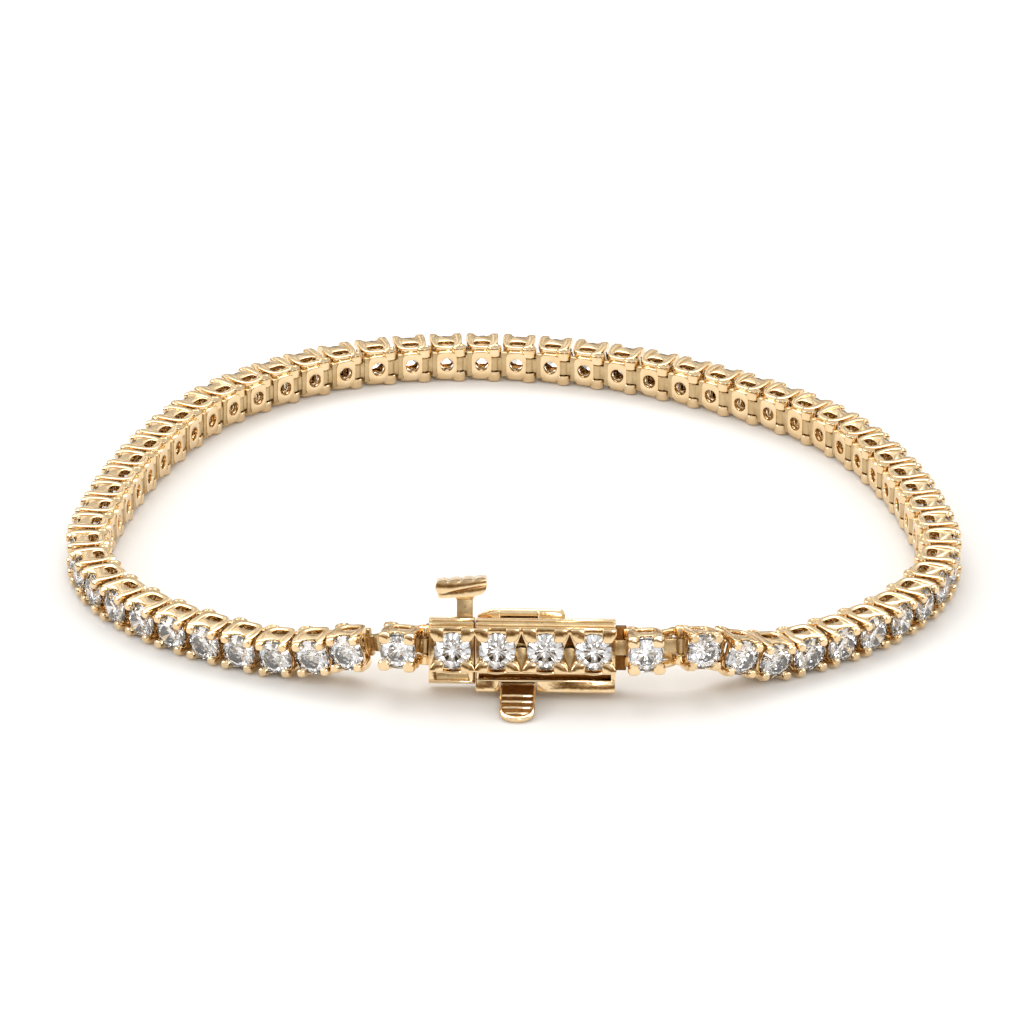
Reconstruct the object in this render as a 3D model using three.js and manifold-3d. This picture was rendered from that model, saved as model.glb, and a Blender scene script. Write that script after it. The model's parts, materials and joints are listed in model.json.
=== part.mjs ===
// A yellow-gold tennis bracelet of round brilliants, lying closed on its edge.
//
// Millimetres, +Z up. The clasp is at the front, towards -Y, and the stones face outwards.
// The origin is at the middle of the bracelet's box, on the surface that it lies on.
//
// Every setting is drawn in one local frame: X runs along the chain, counter-clockwise seen from
// above, Y points inwards to the wrist and Z points up. Y is 0 on the chain's line, which passes
// through the hinge knuckles near the wrist side, and Z is 0 at the setting's middle height.

import * as THREE from 'three';
import { mergeVertices } from 'three/addons/utils/BufferGeometryUtils.js';
import Module from 'manifold-3d';

const wasm = await Module();
wasm.setup();

// Chain
const LINKS_EACH_SIDE = 29; // links in each half of the chain, beside the end link
const LINK_PITCH = 2.7; // from one link's middle to the next
const END_PITCH = 3.6; // from an end link's middle to the chain's nearest link
const KNUCKLE_OFFSET = 0.95; // from a link's middle to its hinge knuckle
const END_REACH = 1.55; // from the left end link's middle to the clasp's knuckle

// Round brilliants
const STONE_DIAMETER = 2.6; // in the chain
const CLASP_STONE_DIAMETER = 2.65; // on the clasp
const TABLE_SHARE = 0.56; // table width over the stone's diameter
const CROWN_HEIGHT = 0.4;
const PAVILION_SHARE = 0.43; // pavilion depth over the stone's diameter
const STONE_SIDES = 8;
const SEATED_SHARE = 0.9; // a fused stone's width at its seat over its diameter
const GIRDLE_DEPTH = -2.05; // Y of the girdle plane

// Four-prong basket
const PRONG_TOP = -2.5; // Y of the prong tips
const HEAD_LENGTH = 2.34; // across the prongs, along the chain
const HEAD_HEIGHT = 2.9; // across the prongs, up and down
const BASE_LENGTH = 1.7;
const BASE_HEIGHT = 2.0;
const BASE_BACK = 0.5; // Y of the wrist face
const NOTCH_LENGTH = 1.24; // between the prongs on the upper and lower sides
const NOTCH_HEIGHT = 1.5; // between the prongs on the end sides
const WINDOW_LENGTH = 0.9; // opening under the gallery bar
const WINDOW_FRONT = -1.35;
const WINDOW_BACK = -0.45;
const WRIST_HOLE = 0.8; // square hole behind the stone
const WRIST_HOLE_FRONT = -0.9;

// Hinges between the links
const KNUCKLE_RADIUS = 0.5;
const KNUCKLE_HEIGHT = 2.78;
const KNUCKLE_SIDES = 4;
const KNUCKLE_FLAT = 0.41; // half width of a fused knuckle
const TONGUE_HEIGHT = 0.8;
const TONGUE_DEPTH = 0.7;
const PIN_RADIUS = 0.17;
const HINGE_CLEARANCE = 0.14;
const EYE_SIDES = 8;

// Clasp box, measured from its middle stone
const CLASP_PITCH = 3.42; // between the stones on the box
const BOX_LENGTH = 9.9;
const BOX_TOP = 2.18;
const BOX_BOTTOM = -2.3;
const BOX_FRONT = -1.35;
const BOX_BACK = 0.95;
const BOX_WALL = 0.4;
const RIM_HEIGHT = 0.65; // skirt under the box's front edge
const RIM_FRONT = -1.5;
const RIM_DEPTH = 0.6;
const SLOT_TOP = -1.76; // long slots in the front, under the stones
const SLOT_BOTTOM = -2.2;
const SLOT_GAP = 0.16; // post between two slots
const DIAMOND_LENGTH = 0.9; // opening between two settings
const DIAMOND_HEIGHT = 2.4;
const SEAT_CLEARANCE = 0.08; // round a stone that is a piece of its own
const LUG_LENGTH = 1.1; // from the box's end to its hinge pin

// Tongue housing beside the box
const HOUSING_LENGTH = 3.24;
const HOUSING_TOP = 2.3;
const HOUSING_BOTTOM = -2.5;
const MOUTH_GAP = 0.1; // seam between the box and the housing
const HOUSING_LUG = 0.3; // from the housing's end to its hinge pin
const POCKET_LENGTH = 1.85; // open end of the housing that the stem stands in
const POCKET_WIDTH = 1.3;
const POCKET_FLOOR = -2.0;
const LABEL_RECESS = 0.12; // sunk panel near the housing's lower edge

// V spring and push piece
const LEAF_THICKNESS = 0.35;
const LEAF_WIDTH = 1.0;
const LEAF_MIDDLE = -0.22; // Y of the leaves' middle
const FOLD_X = 3.5; // where the two leaves meet, inside the box
const LOWER_LEAF_TOP = -1.45;
const FOLD_GAP = 0.12;
const UPPER_LEAF_END = 1.15; // Z of the upper leaf's top under the stem
const STEM_WIDTH = 1.13;
const STEM_DEPTH = 0.8;
const STEM_X = -5.77; // middle of the stem
const STEM_TOP = 3.45;
const STEM_CLEARANCE = 0.12;
const COLLAR_WIDTH = 1.6;
const COLLAR_HEIGHT = 0.45;
const HEAD_WIDTH = 3.6;
const HEAD_DEPTH = 1.7;
const HEAD_THICKNESS = 1.0;
const HEAD_SLOPE = THREE.MathUtils.degToRad(9);
const HEAD_RIDGES = 4;
const RIDGE_RADIUS = 0.4;

// Safety catch on the back of the box
const BARREL_RADIUS = 0.42;
const BARREL_Y = 1.05;
const BARREL_Z = 2.16;
const BARREL_LEFT = -4.9;
const BARREL_RIGHT = 1.33;
const CATCH_LEFT = -3.3;
const CATCH_RIGHT = -0.58;
const CATCH_GAP = 0.1;
const CATCH_THICKNESS = 0.45;
const BARREL_PIN_RADIUS = 0.16;
const BARREL_BORE_RADIUS = 0.24;
const BARREL_SIDES = 12;
const TAB_WIDTH = 2.5;
const TAB_LENGTH = 2.65;
const TAB_THICKNESS = 0.45;
const TAB_ANGLE = THREE.MathUtils.degToRad(56); // from straight down, towards the front
const TAB_RIBS = 3;
const RIB_HEIGHT = 0.14;
const RIB_WIDTH = 0.22;

// How it lies
const CLASP_TILT = THREE.MathUtils.degToRad(15); // the clasp's face leans back on its tab
const END_TILT_SHARE = 0.7; // share of the clasp's tilt that the end links keep
const LEFT_HOLD = -1.0; // from the left end link to where the chain starts to come down
const LEFT_FALL = 12; // length over which it comes down to the floor
const RIGHT_HOLD = 2.6;
const RIGHT_FALL = 8;
const TILT_POWER = 3; // the tilt fades faster than the height

// The chain's line in plan, counter-clockwise from the clasp, before it is scaled to the real length.
const ROUTE = [
  [2.4, -27.9], [9.4, -28.0], [12.2, -27.7], [14.6, -26.82], [17.0, -25.62], [21.65, -22.97],
  [25.73, -19.52], [28.63, -15.05], [29.84, -9.88], [29.28, -4.57], [27.17, 3.19], [23.48, 10.27],
  [17.67, 15.78], [8.4, 21.09], [-2.05, 23.25], [-12.54, 21.57], [-21.06, 15.28], [-26.09, 5.88],
  [-28.97, -4.44], [-29.49, -9.75], [-28.0, -14.83], [-24.76, -19.06], [-20.5, -22.29],
  [-15.69, -24.63], [-10.61, -26.32], [-7.6, -27.6], [-4.0, -27.8],
];
const ROUTE_DIVISIONS = 4000;

// Values worked out from the sizes above
const HOUSING_RIGHT = -BOX_LENGTH / 2 - MOUTH_GAP;
const HOUSING_LEFT = HOUSING_RIGHT - HOUSING_LENGTH;
const TONGUE_STONE_X = (HOUSING_LEFT + HOUSING_RIGHT) / 2 + 0.08;
const CLASP_STONES_X = [-CLASP_PITCH, 0, CLASP_PITCH];
const CATCH_MIDDLE = (CATCH_LEFT + CATCH_RIGHT) / 2;
const KNUCKLE_GAP = TONGUE_HEIGHT / 2 + HINGE_CLEARANCE;
const EYE_RADIUS = KNUCKLE_RADIUS - 0.02;
const EYE_BORE = PIN_RADIUS + HINGE_CLEARANCE;
const BOX_HINGE_X = BOX_LENGTH / 2 + LUG_LENGTH;
const HOUSING_HINGE_X = HOUSING_LEFT - HOUSING_LUG;
const RIGHT_END_X = BOX_HINGE_X + KNUCKLE_OFFSET;
const LEFT_END_X = HOUSING_HINGE_X - END_REACH;

const GOLD = new THREE.MeshStandardMaterial({ color: 0xdcb063, roughness: 0.16, metalness: 1 });
const DIAMOND = new THREE.MeshStandardMaterial({ color: 0xe6e9ee, roughness: 0.02, metalness: 0 });

// Closed meshes and booleans

function toSolid(geometry) {
  const bare = geometry.clone();
  bare.deleteAttribute('normal');
  bare.deleteAttribute('uv');
  const merged = mergeVertices(bare, 1e-5);
  return new wasm.Manifold(new wasm.Mesh({
    numProp: 3,
    vertProperties: Float32Array.from(merged.attributes.position.array),
    triVerts: Uint32Array.from(merged.index.array),
  }));
}

function toGeometry(solid) {
  const mesh = solid.getMesh();
  const geometry = new THREE.BufferGeometry();
  geometry.setAttribute('position', new THREE.BufferAttribute(Float32Array.from(mesh.vertProperties), 3));
  geometry.setIndex(new THREE.BufferAttribute(Uint32Array.from(mesh.triVerts), 1));
  geometry.computeVertexNormals();
  return geometry;
}

function join(solids) {
  return solids.reduce((whole, solid) => whole.add(solid));
}

function cut(solid, tools) {
  return tools.reduce((rest, tool) => rest.subtract(tool), solid);
}

function block([x0, x1], [y0, y1], [z0, z1]) {
  const geometry = new THREE.BoxGeometry(x1 - x0, y1 - y0, z1 - z0);
  geometry.translate((x0 + x1) / 2, (y0 + y1) / 2, (z0 + z1) / 2);
  return toSolid(geometry);
}

function around(middle, width) {
  return [middle - width / 2, middle + width / 2];
}

// A block whose section changes from the front rectangle to the back one.
function taperedBlock(front, back) {
  const corners = [front, back].flatMap(({ y, length, height }) => [
    [-length / 2, y, -height / 2], [length / 2, y, -height / 2],
    [length / 2, y, height / 2], [-length / 2, y, height / 2],
  ]);
  const faces = [[0, 1, 2], [0, 2, 3], [4, 6, 5], [4, 7, 6]];
  for (let k = 0; k < 4; k += 1) {
    const next = (k + 1) % 4;
    faces.push([k, k + 4, next], [next, k + 4, next + 4]);
  }
  const geometry = new THREE.BufferGeometry();
  geometry.setAttribute('position', new THREE.Float32BufferAttribute(corners.flat(), 3));
  geometry.setIndex(faces.flat());
  return toSolid(geometry);
}

function uprightCylinder(radius, [z0, z1], sides, x, y) {
  const geometry = new THREE.CylinderGeometry(radius, radius, z1 - z0, sides);
  geometry.rotateX(Math.PI / 2);
  geometry.rotateZ(Math.PI / sides);
  geometry.translate(x, y, (z0 + z1) / 2);
  return toSolid(geometry);
}

function lyingCylinder(radius, [x0, x1], sides, y, z) {
  const geometry = new THREE.CylinderGeometry(radius, radius, x1 - x0, sides);
  geometry.rotateZ(Math.PI / 2);
  geometry.translate((x0 + x1) / 2, y, z);
  return toSolid(geometry);
}

// An outline in the Y-Z plane, drawn along X.
function profileAlongX(points, [x0, x1]) {
  const outline = new THREE.Shape(points.map(([y, z]) => new THREE.Vector2(y, z)));
  const geometry = new THREE.ExtrudeGeometry(outline, { depth: x1 - x0, bevelEnabled: false });
  geometry.rotateX(Math.PI / 2);
  geometry.rotateZ(Math.PI / 2);
  geometry.translate(x0, 0, 0);
  return toSolid(geometry);
}

// An outline in the X-Z plane, drawn along Y.
function profileAlongY(points, [y0, y1]) {
  const outline = new THREE.Shape(points.map(([x, z]) => new THREE.Vector2(x, z)));
  const geometry = new THREE.ExtrudeGeometry(outline, { depth: y1 - y0, bevelEnabled: false });
  geometry.rotateX(Math.PI / 2);
  geometry.translate(0, y1, 0);
  return toSolid(geometry);
}

// Stones and settings

function brilliant(diameter, x, grow = 0) {
  const radius = diameter / 2 + grow;
  const outline = [
    new THREE.Vector2(0, -CROWN_HEIGHT - grow),
    new THREE.Vector2(radius * TABLE_SHARE, -CROWN_HEIGHT - grow),
    new THREE.Vector2(radius, 0),
    new THREE.Vector2(0, diameter * PAVILION_SHARE + grow),
  ];
  const geometry = new THREE.LatheGeometry(outline, STONE_SIDES);
  geometry.rotateY(Math.PI / STONE_SIDES);
  geometry.translate(x, GIRDLE_DEPTH, 0);
  return toSolid(geometry);
}

// The part of a stone that shows above its seat.
function crown(diameter, x) {
  const radius = diameter / 2;
  const sunk = 0.02;
  const outline = [
    new THREE.Vector2(0, -CROWN_HEIGHT),
    new THREE.Vector2(radius * TABLE_SHARE, -CROWN_HEIGHT),
    new THREE.Vector2(radius * SEATED_SHARE, 0),
    new THREE.Vector2(0, sunk),
  ];
  const geometry = new THREE.LatheGeometry(outline, STONE_SIDES);
  geometry.rotateY(Math.PI / STONE_SIDES);
  geometry.translate(x, GIRDLE_DEPTH, 0);
  return toSolid(geometry);
}

function notches(x, seat) {
  return [
    block(around(x, NOTCH_LENGTH), [PRONG_TOP - 1, seat], [-HEAD_HEIGHT, HEAD_HEIGHT]),
    block(around(x, HEAD_LENGTH * 2), [PRONG_TOP - 1, seat], around(0, NOTCH_HEIGHT)),
  ];
}

function basket() {
  const outer = taperedBlock(
    { y: PRONG_TOP, length: HEAD_LENGTH, height: HEAD_HEIGHT },
    { y: BASE_BACK, length: BASE_LENGTH, height: BASE_HEIGHT },
  );
  const window = block(around(0, WINDOW_LENGTH), [WINDOW_FRONT, WINDOW_BACK], [-HEAD_HEIGHT, HEAD_HEIGHT]);
  const hole = block(around(0, WRIST_HOLE), [WRIST_HOLE_FRONT, BASE_BACK + 1], around(0, WRIST_HOLE));
  const cupped = cut(outer, notches(0, GIRDLE_DEPTH)).add(crown(STONE_DIAMETER, 0));
  return cut(cupped, [window, hole]);
}

// Hinge pieces: a knuckle pair with its pin, and the eye of the neighbour that turns on it

function plainKnuckle(x) {
  const radius = KNUCKLE_FLAT / Math.cos(Math.PI / KNUCKLE_SIDES);
  return uprightCylinder(radius, around(0, KNUCKLE_HEIGHT), KNUCKLE_SIDES, x, 0);
}

function pinnedKnuckle(x, height = KNUCKLE_HEIGHT) {
  const barrel = uprightCylinder(KNUCKLE_RADIUS, around(0, height), EYE_SIDES, x, 0);
  const pin = uprightCylinder(PIN_RADIUS, around(0, height - 0.2), EYE_SIDES, x, 0);
  const slot = block(around(x, KNUCKLE_RADIUS * 2 + 0.3), [-1, 1], around(0, KNUCKLE_GAP * 2));
  return barrel.subtract(slot).add(pin);
}

function tongueBar(x0, x1) {
  return block([x0, x1], around(0, TONGUE_DEPTH), around(0, TONGUE_HEIGHT));
}

function eyeAt(x, from) {
  const ring = uprightCylinder(EYE_RADIUS, around(0, TONGUE_HEIGHT), EYE_SIDES, x, 0);
  const bore = uprightCylinder(EYE_BORE, around(0, TONGUE_HEIGHT + 1), EYE_SIDES, x, 0);
  return tongueBar(from, x).add(ring).subtract(bore);
}

// Room for the neighbour's eye in the wall beside a knuckle.
function eyeRoom(x) {
  const reach = EYE_RADIUS + HINGE_CLEARANCE;
  return block([x - reach - 1, x + reach], around(0, reach * 2), around(0, KNUCKLE_GAP * 2));
}

// The reach is the distance from the link's own pin to the next one.
function chainLink({ pinned = false, eye = false, reach = LINK_PITCH } = {}) {
  const knuckleX = -KNUCKLE_OFFSET;
  const nextKnuckle = knuckleX + reach;
  const from = BASE_LENGTH / 2 - 0.1;
  const ownEnd = pinned
    ? basket().subtract(eyeRoom(knuckleX)).add(pinnedKnuckle(knuckleX))
    : basket().add(plainKnuckle(knuckleX));
  if (eye) {
    return ownEnd.add(eyeAt(nextKnuckle, from));
  }
  return ownEnd.add(tongueBar(from, nextKnuckle - KNUCKLE_RADIUS / 2));
}

// Where each link lies

const claspSpan = RIGHT_END_X - LEFT_END_X;
const loopLength = claspSpan + 2 * END_PITCH + (2 * LINKS_EACH_SIDE - 1) * LINK_PITCH;
const drawnRoute = new THREE.CatmullRomCurve3(ROUTE.map(([x, y]) => new THREE.Vector3(x, y, 0)), true);
drawnRoute.arcLengthDivisions = ROUTE_DIVISIONS;
const routeScale = loopLength / drawnRoute.getLength();

// The lowest point of the tab, in the clasp's own frame, sets how high the clasp stands.
const TAB_ROOT = new THREE.Vector2(RIM_FRONT, BOX_BOTTOM - CATCH_GAP - CATCH_THICKNESS / 2);
const tabTip = new THREE.Vector2(
  TAB_ROOT.x - TAB_LENGTH * Math.sin(TAB_ANGLE) + (TAB_THICKNESS / 2) * Math.cos(TAB_ANGLE),
  TAB_ROOT.y - TAB_LENGTH * Math.cos(TAB_ANGLE) - (TAB_THICKNESS / 2) * Math.sin(TAB_ANGLE),
);
const claspHeight = tabTip.x * Math.sin(CLASP_TILT) - tabTip.y * Math.cos(CLASP_TILT);
const chainHeight = HEAD_HEIGHT / 2;

// 1 in the clasp, falling to 0 where the chain has come down to the floor.
function lifted(station) {
  const fromRight = (station - RIGHT_END_X - RIGHT_HOLD) / RIGHT_FALL;
  const fromLeft = (loopLength + LEFT_END_X - LEFT_HOLD - station) / LEFT_FALL;
  return 1 - THREE.MathUtils.smoothstep(Math.min(fromRight, fromLeft), 0, 1);
}

function routePoint(station) {
  const share = THREE.MathUtils.euclideanModulo(station / loopLength, 1);
  const point = drawnRoute.getPointAt(share).multiplyScalar(routeScale);
  point.z = chainHeight + (claspHeight - chainHeight) * lifted(THREE.MathUtils.euclideanModulo(station, loopLength));
  return point;
}

// The frame of a setting at a distance along the loop from the clasp's middle stone.
function placeAt(station) {
  const step = LINK_PITCH / 2;
  const along = routePoint(station + step).sub(routePoint(station - step)).normalize();
  const inwards = new THREE.Vector3(-along.y, along.x, 0).normalize();
  const up = new THREE.Vector3().crossVectors(along, inwards);
  const turned = new THREE.Matrix4().makeBasis(along, inwards, up);
  const tilt = CLASP_TILT * lifted(THREE.MathUtils.euclideanModulo(station, loopLength)) ** TILT_POWER;
  return new THREE.Matrix4().setPosition(routePoint(station)).multiply(turned)
    .multiply(new THREE.Matrix4().makeRotationX(-tilt));
}

// The clasp is rigid and straight, so it takes one frame.
const claspFrame = (() => {
  const middle = routePoint(0);
  const left = routePoint(LEFT_END_X);
  const right = routePoint(RIGHT_END_X);
  const along = right.clone().sub(left).setZ(0).normalize();
  const inwards = new THREE.Vector3(-along.y, along.x, 0);
  const turned = new THREE.Matrix4().makeBasis(along, inwards, new THREE.Vector3(0, 0, 1));
  const onLine = left.clone().add(along.clone().multiplyScalar(-LEFT_END_X)).setZ(middle.z);
  return new THREE.Matrix4().setPosition(onLine).multiply(turned)
    .multiply(new THREE.Matrix4().makeRotationX(-CLASP_TILT));
})();

// The clasp's pieces, in its own frame

function claspHead(x) {
  const scale = CLASP_STONE_DIAMETER / STONE_DIAMETER;
  const head = taperedBlock(
    { y: PRONG_TOP, length: HEAD_LENGTH * scale, height: HEAD_HEIGHT * scale },
    { y: BOX_FRONT + BOX_WALL / 2, length: BASE_LENGTH, height: BASE_HEIGHT },
  );
  const seat = GIRDLE_DEPTH + SEAT_CLEARANCE;
  return cut(head.translate([x, 0, 0]), notches(x, seat));
}

function claspBox() {
  const right = BOX_LENGTH / 2;
  const corner = 0.5;
  const shell = profileAlongY([
    [-right, BOX_BOTTOM], [right - corner, BOX_BOTTOM], [right, BOX_BOTTOM + corner],
    [right, BOX_TOP], [-right, BOX_TOP],
  ], [BOX_FRONT, BOX_BACK]);
  const room = block(
    [-right - 1, right - BOX_WALL],
    [BOX_FRONT + BOX_WALL, BOX_BACK - BOX_WALL],
    [BOX_BOTTOM + BOX_WALL, BOX_TOP - BOX_WALL],
  );
  const rim = block(
    [-right, right - corner],
    [RIM_FRONT, RIM_FRONT + RIM_DEPTH],
    [BOX_BOTTOM - RIM_HEIGHT, BOX_BOTTOM + 0.1],
  );
  const rimNotch = block(
    around(CATCH_MIDDLE, TAB_WIDTH + 2 * CATCH_GAP),
    [RIM_FRONT - 1, RIM_FRONT + RIM_DEPTH + 1],
    [BOX_BOTTOM - RIM_HEIGHT - 1, BOX_BOTTOM],
  );
  const slots = CLASP_STONES_X.map((x) => block(
    around(x, CLASP_PITCH - SLOT_GAP),
    [BOX_FRONT - 1, BOX_FRONT + BOX_WALL * 0.6],
    [SLOT_BOTTOM, SLOT_TOP],
  ));
  const openings = [-CLASP_PITCH / 2, CLASP_PITCH / 2].map((x) => profileAlongY([
    [x - DIAMOND_LENGTH / 2, 0], [x, -DIAMOND_HEIGHT / 2], [x + DIAMOND_LENGTH / 2, 0],
    [x, DIAMOND_HEIGHT / 2],
  ], [PRONG_TOP - 1, BOX_FRONT + BOX_WALL * 1.5]));
  const barrel = lyingCylinder(BARREL_RADIUS, [BARREL_LEFT, BARREL_RIGHT], BARREL_SIDES, BARREL_Y, BARREL_Z);
  const catchRoom = lyingCylinder(
    BARREL_RADIUS + CATCH_GAP, [CATCH_LEFT - CATCH_GAP, CATCH_RIGHT + CATCH_GAP],
    BARREL_SIDES, BARREL_Y, BARREL_Z,
  );
  const pin = lyingCylinder(
    BARREL_PIN_RADIUS, [CATCH_LEFT - 0.5, CATCH_RIGHT + 0.5], BARREL_SIDES, BARREL_Y, BARREL_Z,
  );
  const hollow = shell.subtract(room).add(rim.subtract(rimNotch));
  const fronted = join([hollow, ...CLASP_STONES_X.map(claspHead), eyeAt(BOX_HINGE_X, right - 0.1)]);
  const seats = CLASP_STONES_X.map((x) => brilliant(CLASP_STONE_DIAMETER, x, SEAT_CLEARANCE));
  return cut(fronted.add(barrel), [...slots, ...openings, ...seats, catchRoom]).add(pin);
}

function tongueHousing() {
  const body = block([HOUSING_LEFT, HOUSING_RIGHT], [BOX_FRONT, BOX_BACK], [HOUSING_BOTTOM, HOUSING_TOP]);
  const pocket = block(
    [HOUSING_RIGHT - POCKET_LENGTH, HOUSING_RIGHT + 1],
    around(LEAF_MIDDLE, POCKET_WIDTH),
    [POCKET_FLOOR, HOUSING_TOP + 1],
  );
  const panel = block(
    around(TONGUE_STONE_X, HOUSING_LENGTH * 0.7),
    [BOX_FRONT - 1, BOX_FRONT + LABEL_RECESS],
    [SLOT_BOTTOM, SLOT_TOP],
  );
  const lowerLeaf = block(
    [HOUSING_RIGHT - POCKET_LENGTH - 0.1, FOLD_X + LEAF_THICKNESS],
    around(LEAF_MIDDLE, LEAF_WIDTH),
    [LOWER_LEAF_TOP - LEAF_THICKNESS, LOWER_LEAF_TOP],
  );
  const seat = brilliant(CLASP_STONE_DIAMETER, TONGUE_STONE_X, SEAT_CLEARANCE);
  const fronted = cut(body.add(claspHead(TONGUE_STONE_X)), [pocket, panel, seat, eyeRoom(HOUSING_HINGE_X)]);
  return join([fronted, lowerLeaf, pinnedKnuckle(HOUSING_HINGE_X)]);
}

function tongueSpring() {
  const low = LOWER_LEAF_TOP + FOLD_GAP;
  const foot = STEM_X + STEM_WIDTH / 2;
  const leaf = profileAlongY([
    [foot, UPPER_LEAF_END], [foot, UPPER_LEAF_END - LEAF_THICKNESS],
    [FOLD_X, low], [FOLD_X + LEAF_THICKNESS, low], [FOLD_X + LEAF_THICKNESS, low + LEAF_THICKNESS],
  ], around(LEAF_MIDDLE, LEAF_WIDTH));
  const stem = block(
    around(STEM_X, STEM_WIDTH),
    around(LEAF_MIDDLE, STEM_DEPTH),
    [UPPER_LEAF_END - LEAF_THICKNESS, STEM_TOP + COLLAR_HEIGHT],
  );
  return leaf.add(stem);
}

function pushPiece() {
  const collar = block(
    around(STEM_X, COLLAR_WIDTH), around(LEAF_MIDDLE, HEAD_DEPTH * 0.8), [STEM_TOP, STEM_TOP + COLLAR_HEIGHT],
  );
  const stemHole = block(
    around(STEM_X, STEM_WIDTH + 2 * STEM_CLEARANCE),
    around(LEAF_MIDDLE, STEM_DEPTH + 2 * STEM_CLEARANCE),
    [STEM_TOP - 1, STEM_TOP + COLLAR_HEIGHT + STEM_CLEARANCE],
  );
  const slab = block(around(0, HEAD_WIDTH), around(0, HEAD_DEPTH), [0, HEAD_THICKNESS * 0.6]);
  const spacing = HEAD_WIDTH / HEAD_RIDGES;
  const ridges = Array.from({ length: HEAD_RIDGES }, (_, i) => {
    const geometry = new THREE.CylinderGeometry(RIDGE_RADIUS, RIDGE_RADIUS, HEAD_DEPTH, 8);
    geometry.rotateY(Math.PI / 8);
    geometry.translate((i + 0.5 - HEAD_RIDGES / 2) * spacing, 0, HEAD_THICKNESS * 0.6);
    return toSolid(geometry);
  });
  const head = join([slab, ...ridges])
    .rotate([0, -THREE.MathUtils.radToDeg(HEAD_SLOPE), 0])
    .translate([STEM_X, LEAF_MIDDLE, STEM_TOP + COLLAR_HEIGHT * 0.9]);
  return head.add(collar).subtract(stemHole);
}

function safetyCatch() {
  const back = BOX_BACK + CATCH_GAP;
  const bottom = BOX_BOTTOM - CATCH_GAP;
  const knuckle = lyingCylinder(BARREL_RADIUS, [CATCH_LEFT, CATCH_RIGHT], BARREL_SIDES, BARREL_Y, BARREL_Z);
  const bore = lyingCylinder(
    BARREL_BORE_RADIUS, [CATCH_LEFT - 1, CATCH_RIGHT + 1], BARREL_SIDES, BARREL_Y, BARREL_Z,
  );
  const plate = profileAlongX([
    [back, BARREL_Z], [back, bottom], [TAB_ROOT.x, bottom],
    [TAB_ROOT.x, bottom - CATCH_THICKNESS], [back + CATCH_THICKNESS, bottom - CATCH_THICKNESS],
    [back + CATCH_THICKNESS, BARREL_Z],
  ], around(CATCH_MIDDLE, TAB_WIDTH));
  const radius = TAB_WIDTH / 2;
  const outline = new THREE.Shape();
  outline.moveTo(-radius, 0.2);
  outline.lineTo(-radius, radius * 0.8 - TAB_LENGTH);
  outline.absellipse(0, radius * 0.8 - TAB_LENGTH, radius, radius * 0.8, Math.PI, 2 * Math.PI, false);
  outline.lineTo(radius, 0.2);
  const face = new THREE.ExtrudeGeometry(outline, { depth: TAB_THICKNESS, bevelEnabled: false, curveSegments: 6 });
  face.translate(0, 0, -TAB_THICKNESS / 2);
  face.rotateX(Math.PI / 2);
  const ribs = Array.from({ length: TAB_RIBS }, (_, i) => {
    const z = -TAB_LENGTH * (0.42 + 0.2 * i);
    const width = TAB_WIDTH * (0.84 - 0.1 * i);
    return block(
      around(0, width), [-TAB_THICKNESS / 2 - RIB_HEIGHT, -TAB_THICKNESS / 4], around(z, RIB_WIDTH),
    );
  });
  const tab = join([toSolid(face), ...ribs])
    .rotate([-THREE.MathUtils.radToDeg(TAB_ANGLE), 0, 0])
    .translate([CATCH_MIDDLE, TAB_ROOT.x, TAB_ROOT.y]);
  return join([plate, knuckle, tab]).subtract(bore);
}

// The group and its pieces

const bracelet = new THREE.Group();

function addPiece(name, solid, material, frame = new THREE.Matrix4()) {
  const mesh = new THREE.Mesh(toGeometry(solid).applyMatrix4(frame), material);
  mesh.name = name;
  bracelet.add(mesh);
}

function chainHalf(firstStation, lastReach) {
  const links = [];
  for (let i = 0; i < LINKS_EACH_SIDE; i += 1) {
    const last = i === LINKS_EACH_SIDE - 1;
    const link = chainLink({ pinned: i === 0, eye: last, reach: last ? lastReach : LINK_PITCH });
    links.push(toSolid(toGeometry(link).applyMatrix4(placeAt(firstStation + i * LINK_PITCH))));
  }
  return join(links);
}

// An end link turns on a pin at each end, so it lies along the line between the two.
function endLinkFrame(knuckle, eye) {
  const along = eye.clone().sub(knuckle).normalize();
  const inwards = new THREE.Vector3(-along.y, along.x, 0).normalize();
  const up = new THREE.Vector3().crossVectors(along, inwards);
  return new THREE.Matrix4().setPosition(knuckle.clone().addScaledVector(along, KNUCKLE_OFFSET))
    .multiply(new THREE.Matrix4().makeBasis(along, inwards, up))
    .multiply(new THREE.Matrix4().makeRotationX(-CLASP_TILT * END_TILT_SHARE));
}

const rightStart = RIGHT_END_X + END_PITCH;
const leftStart = rightStart + LINKS_EACH_SIDE * LINK_PITCH;
const lastLeft = leftStart + (LINKS_EACH_SIDE - 1) * LINK_PITCH;

const rightHinges = [
  new THREE.Vector3(BOX_HINGE_X, 0, 0).applyMatrix4(claspFrame),
  new THREE.Vector3(-KNUCKLE_OFFSET, 0, 0).applyMatrix4(placeAt(rightStart)),
];
const leftHinges = [
  new THREE.Vector3(END_PITCH - KNUCKLE_OFFSET, 0, 0).applyMatrix4(placeAt(lastLeft)),
  new THREE.Vector3(HOUSING_HINGE_X, 0, 0).applyMatrix4(claspFrame),
];

function endLink([knuckle, eye]) {
  const reach = eye.distanceTo(knuckle);
  return chainLink({ pinned: true, eye: true, reach });
}

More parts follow.
